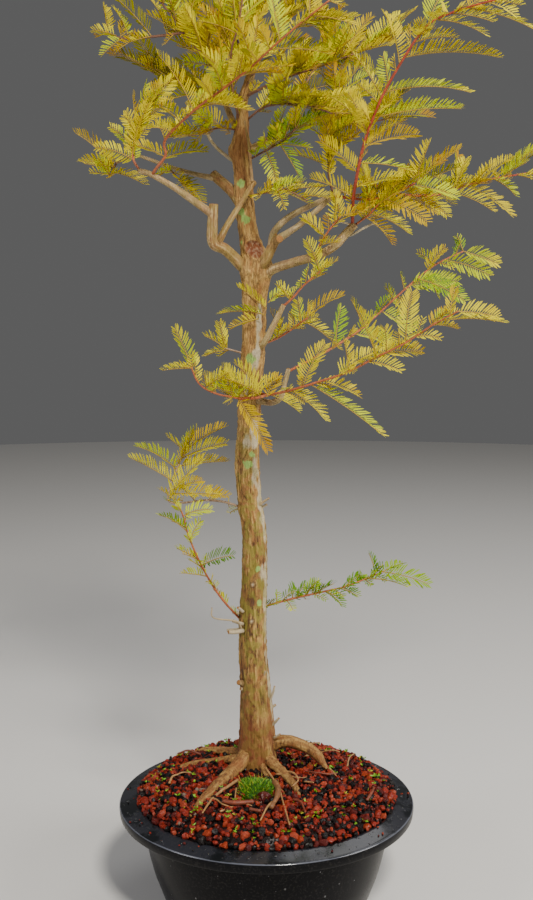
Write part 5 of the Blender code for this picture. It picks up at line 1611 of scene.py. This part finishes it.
def moss_skin(u, v, swell):
    """Places on the moss cushion, from a turn u and a height angle v, and the way out of it."""
    wave = 1 + 0.16 * np.sin(3 * u + 0.7)
    ragged = 1 + 0.10 * lattice_noise(np.cos(u) * 3, np.sin(u) * 3, v * 3, 31)
    out = np.column_stack([np.cos(u) * np.cos(v), np.sin(u) * np.cos(v), np.sin(v)])
    size = np.array(MOSS_SIZE) * np.column_stack([wave * ragged, wave * ragged, ragged])
    return np.array(MOSS_PLACE) + out * (size + swell), out


def make_moss():
    """The moss cushion: a dark core, short leaves all over it and a few long stray ones."""
    noise = np.random.default_rng(MOSS_SEED)
    heap = Heap()
    turns = np.arange(MOSS_SIDES) * 2 * np.pi / MOSS_SIDES
    u, v = np.meshgrid(turns, np.linspace(-0.25, np.pi / 2, MOSS_ROWS), indexing="xy")
    core, _ = moss_skin(u.ravel(), v.ravel(), MOSS_SINK)
    heap.add(core, tube_faces(MOSS_ROWS, MOSS_SIDES), 0)
    count = MOSS_BLADES
    u, v = noise.uniform(0, 2 * np.pi, count), np.arcsin(noise.uniform(-0.1, 1, count))
    roots, out = moss_skin(u, v, MOSS_ROOTED)
    ways = unit(out + noise.normal(0, 0.35, (count, 3)) + (0, 0, 0.25))
    blades(heap, roots, ways, noise.uniform(*MOSS_LENGTHS, count), MOSS_HALF, noise,
           noise.choice(len(MOSS_SHARES), count, p=MOSS_SHARES))
    stray = noise.integers(0, count, STRAYS)
    blades(heap, roots[stray], ways[stray] + (0, 0, 0.4), noise.uniform(*STRAY_LENGTHS, STRAYS), STRAY_HALF,
           noise, STRAY)
    moss = heap.piece("moss_cushion", leafy_materials("moss_", MOSS_GREENS, 0.5))
    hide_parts("moss")


WEED_GREENS = (("seedling", (0.24, 0.52, 0.02)), ("old", (0.46, 0.46, 0.03)))
WEEDS, WEED_RADIUS, WEED_RIM = 180, 128, (100, 127)
WEED_CLEAR = 24              # no seedlings this near the trunk
WEED_LIFT = 3.8              # from the soil up to the top of the grains
WEED_LENGTHS, WEED_HALVES, WEED_RISES = (2.0, 4.6), (0.45, 0.95), (0.1, 1.1)
OLD_SHARE = 0.3


def make_weeds():
    """Seedlings and liverwort scraps among the grains, most near the rim."""
    noise = np.random.default_rng(WEED_SEED)
    heap = Heap()
    for k in range(WEEDS):
        r = WEED_RADIUS * math.sqrt(noise.uniform(0.06, 1)) if k % 3 else noise.uniform(*WEED_RIM)
        x, y, _ = on_circle(r, noise.uniform(0, 2 * np.pi), 0)
        if from_trunk(x, y) < WEED_CLEAR:
            continue
        root = np.array([x, y, ground_at(x, y) + WEED_LIFT])
        leaves = int(noise.integers(3, 8))
        turn = noise.uniform(0, 2 * np.pi, leaves)
        rise = noise.uniform(*WEED_RISES, leaves)
        ways = np.column_stack([np.cos(turn) * np.cos(rise), np.sin(turn) * np.cos(rise), np.sin(rise)])
        blades(heap, np.tile(root, (leaves, 1)), ways, noise.uniform(*WEED_LENGTHS, leaves),
               noise.uniform(*WEED_HALVES), noise, int(noise.random() < OLD_SHARE))
    weeds = heap.piece("seedlings", leafy_materials("weed_", WEED_GREENS, 0.6))


# Loose rootlets and bark on the soil: start, runs, first and last radius, colour.
ROOTLETS = (
    ((-1, 1, 131), ((39, -72, -6), (38, -82, -3), (42, -83, -3)), (1.2, 0.7), "pale"),
    ((-29, -23, 128), ((38, -121, -2), (21, -110, -2), (20, -104, -2)), (1.8, 0.8), "pale"),
    ((16, -4, 129), ((16, -46, 12), (14, -70, -8), (12, -120, -12)), (1.2, 0.7), "pale"),
    ((-60, -60, 122), ((14, -30, 14), (12, -60, 4), (10, -20, -10)), (1.1, 0.7), "pale"),
    ((72, -2, 124), ((14, -160, 16), (12, 170, 4), (10, 140, -10)), (1.2, 0.7), "bark"),
    ((8, -30, 128), ((18, -79, 4), (20, -94, 0), (20, -107, -6)), (3.3, 2.4), "burl"),
    ((5, -77, 128), ((17, -106, 6), (22, -106, -8)), (1.2, 0.8), "pale"),
    ((-42, -73, 127.5), ((13, -20, 0), (17, 10, 0)), (2.7, 2.3), "bark"),
    ((-16, -90, 127), ((11, -24, 0),), (2.0, 1.7), "bark"),
    ((-30, -43, 128), ((26, -91, 2),), (0.9, 0.6), "pale"),
    ((10, -8, 128), ((11, -26, 6), (9, -23, -6)), (1.1, 0.7), "pale"),
    ((17, 4, 130), ((16, -81, -4),), (1.1, 0.7), "pale"),
    ((38, -27, 128), ((11, -33, 8),), (0.9, 0.6), "pale"),
    ((26, -68, 127), ((11, -51, 6), (19, -78, -6)), (1.3, 0.8), "bark"),
    ((-98, -20, 122), ((14, 80, 12), (12, 40, -4), (10, 10, -20)), (1.2, 0.7), "pale"),
    ((98, -58, 122), ((12, 62, 16), (11, 74, 2), (8, 95, -14)), (1.6, 0.9), "bark"),
    ((40, 40, 128), ((16, 10, 10), (14, -10, 16), (10, 20, -20)), (1.0, 0.6), "pale"),
    ((30, 76, 125), ((16, -20, 18), (14, 16, 0)), (1.1, 0.6), "pale"),
    ((84, 20, 124), ((10, 60, 60), (8, 40, 20)), (1.0, 0.6), "pale"),
    ((20, -10, 126), ((14, -20, 4), (12, 10, -6)), (1.1, 0.7), "pale"),
    ((-70, 48, 127), ((14, 170, 14), (12, 200, -10)), (1.6, 0.9), "bark"),
    ((56, 10, 127), ((12, -40, 10), (12, -60, -14)), (0.9, 0.6), "pale"),
    ((-44, -88, 120), ((14, 40, 4), (12, 10, 2), (8, -20, -10)), (0.9, 0.6), "pale"),
)
ROOTLET_COLOURS = {
    "pale": ((0.44, 0.235, 0.085), (0.22, 0.11, 0.04)), "bark": ((0.25, 0.048, 0.016), (0.10, 0.025, 0.012)),
    "burl": ((0.30, 0.13, 0.045), (0.12, 0.05, 0.02)),
}
ROOTLET_NAMES = list(ROOTLET_COLOURS)
ROOTLET_LIFT = 3.4           # from the soil up to where a rootlet lies on the grains
ROOTLET_SIDES, ROOTLET_STEP = 8, 2.0


def make_rootlets():
    """The loose rootlets, laid over the grains."""
    heap = Heap()
    for start, runs, taper, colour in ROOTLETS:
        places, radii = eased_limb(start, runs, taper, ROOTLET_STEP)
        floor = np.array([ground_at(p[0], p[1]) + ROOTLET_LIFT for p in places])
        places[:, 2] = np.maximum(places[:, 2], floor)
        wobble = lattice_noise(places[:, 0] / 4, places[:, 1] / 4, places[:, 2] / 4, 8)
        tube(heap, places, radii * (1 + 0.22 * wobble), ROOTLET_SIDES, ROOTLET_NAMES.index(colour))
    bits = heap.piece("rootlets", [shoot_material("rootlet_" + key, *pair)
                                   for key, pair in ROOTLET_COLOURS.items()])


# Drops: how many, their sizes and the share of each size.
FLANGE_DROPS, FLANGE_SIZES = 150, (0.7, 1.1, 1.7)
WALL_DROPS, WALL_SIZES, WALL_SPAN = 100, (0.5, 0.8, 1.2), (12, 88)
DROP_SHARES = (0.5, 0.35, 0.15)


def make_drops():
    """Drops of water that stand on the flange and hang on the wall."""
    noise = np.random.default_rng(DROP_SEED)
    heap = Heap()
    ball, faces = unit_ball(2)
    for _ in range(FLANGE_DROPS):
        angle, r = noise.uniform(0, 2 * np.pi), noise.uniform(CREST_RADIUS + 2, RIM_RADIUS - 4)
        size = noise.choice(FLANGE_SIZES, p=DROP_SHARES)
        lying = ball * (size, size * noise.uniform(0.8, 1.3), size * 0.32)
        heap.add(lying + on_circle(r, angle, flange_at(r)), faces)
    heights = [z for _, z in WALL_OUTLINE]
    for _ in range(WALL_DROPS):
        angle, z = noise.uniform(0, 2 * np.pi), noise.uniform(*WALL_SPAN)
        r = float(np.interp(z, heights, [r for r, _ in WALL_OUTLINE]))
        size = noise.choice(WALL_SIZES, p=DROP_SHARES)
        cos, sin = math.cos(angle), math.sin(angle)
        turn = np.array([[cos, -sin, 0], [sin, cos, 0], [0, 0, 1]])
        hanging = (ball * (size * 0.35, size, size * 1.15)) @ turn.T
        heap.add(hanging + on_circle(r, angle, z), faces)
    drops = heap.piece("water_drops", [water_material()])


# ---------------------------------------------------------------- floor, light and camera

STAGE_RADIUS, STAGE_SIDES, STAGE_GREY = 4.0, 128, (0.72, 0.71, 0.69, 1.0)
SKY_GREY, SKY_STRENGTH = (0.80, 0.80, 0.80, 1.0), 0.14
# Lamps: place and aim in metres, width, watts, colour.
LAMPS = (
    ("key", (0.5, -1.6, 2.1), (0, 0, 0.5), 0.45, 64, (1.0, 0.95, 0.86)),
    ("right", (1.8, -0.5, 1.1), (0, 0, 0.4), 1.2, 30, (1.0, 0.97, 0.93)),
    ("left", (-1.6, -0.8, 1.1), (0, 0, 0.4), 0.8, 13, (0.98, 0.97, 1.0)),
    ("back", (0.9, 1.6, 2.4), (0, 0, 0.6), 1.6, 12, (1.0, 1.0, 1.0)),
)
LENS, SENSOR = 48.0, 36.0
EYE = (0.0, -1.178, 0.607)
LOOKING_DOWN = 7.15          # degrees


def make_stage():
    """A pale floor and soft light from above and both sides."""
    mesh = bpy.data.meshes.new("floor")
    shell = bmesh.new()
    bmesh.ops.create_circle(shell, cap_ends=True, segments=STAGE_SIDES, radius=STAGE_RADIUS)
    shell.to_mesh(mesh)
    shell.free()
    floor = placed("floor", mesh)
    made, _, _ = surface("pale_floor", Base_Color=STAGE_GREY, Roughness=0.9)
    mesh.materials.append(made)
    world = bpy.data.worlds.new("studio")
    world.use_nodes = True
    sky = world.node_tree.nodes["Background"]
    sky.inputs["Color"].default_value = SKY_GREY
    sky.inputs["Strength"].default_value = SKY_STRENGTH
    bpy.context.scene.world = world
    for name, place, aim, size, power, colour in LAMPS:
        light = bpy.data.lights.new(name, "AREA")
        light.shape, light.size, light.energy, light.color = "DISK", size, power, colour
        lamp = placed(name, light)
        lamp.location = place
        lamp.rotation_euler = (Vector(aim) - Vector(place)).to_track_quat("-Z", "Y").to_euler()


def make_camera():
    """The camera, in front of the tree and looking a little down."""
    camera = bpy.data.cameras.new("camera")
    camera.lens = LENS
    camera.sensor_width = SENSOR
    eye = placed("camera", camera)
    eye.location = EYE
    eye.rotation_euler = (math.radians(90 - LOOKING_DOWN), 0.0, 0.0)
    bpy.context.scene.camera = eye


def main():
    """Make every piece."""
    make_camera()
    make_stage()
    trunk = make_trunk().piece("trunk_bark", [bark_material("fissured_bark", *TRUNK_BARK)])
    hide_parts("trunk")
    boughs = make_boughs().piece("bough_bark", [bark_material("thin_bark", *THIN_BARK)])
    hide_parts(*[row[0] for row in LIMBS])
    make_foliage()
    make_pot()
    make_grit()
    make_moss()
    make_weeds()
    make_rootlets()
    make_drops()
    bpy.context.view_layer.update()


main()
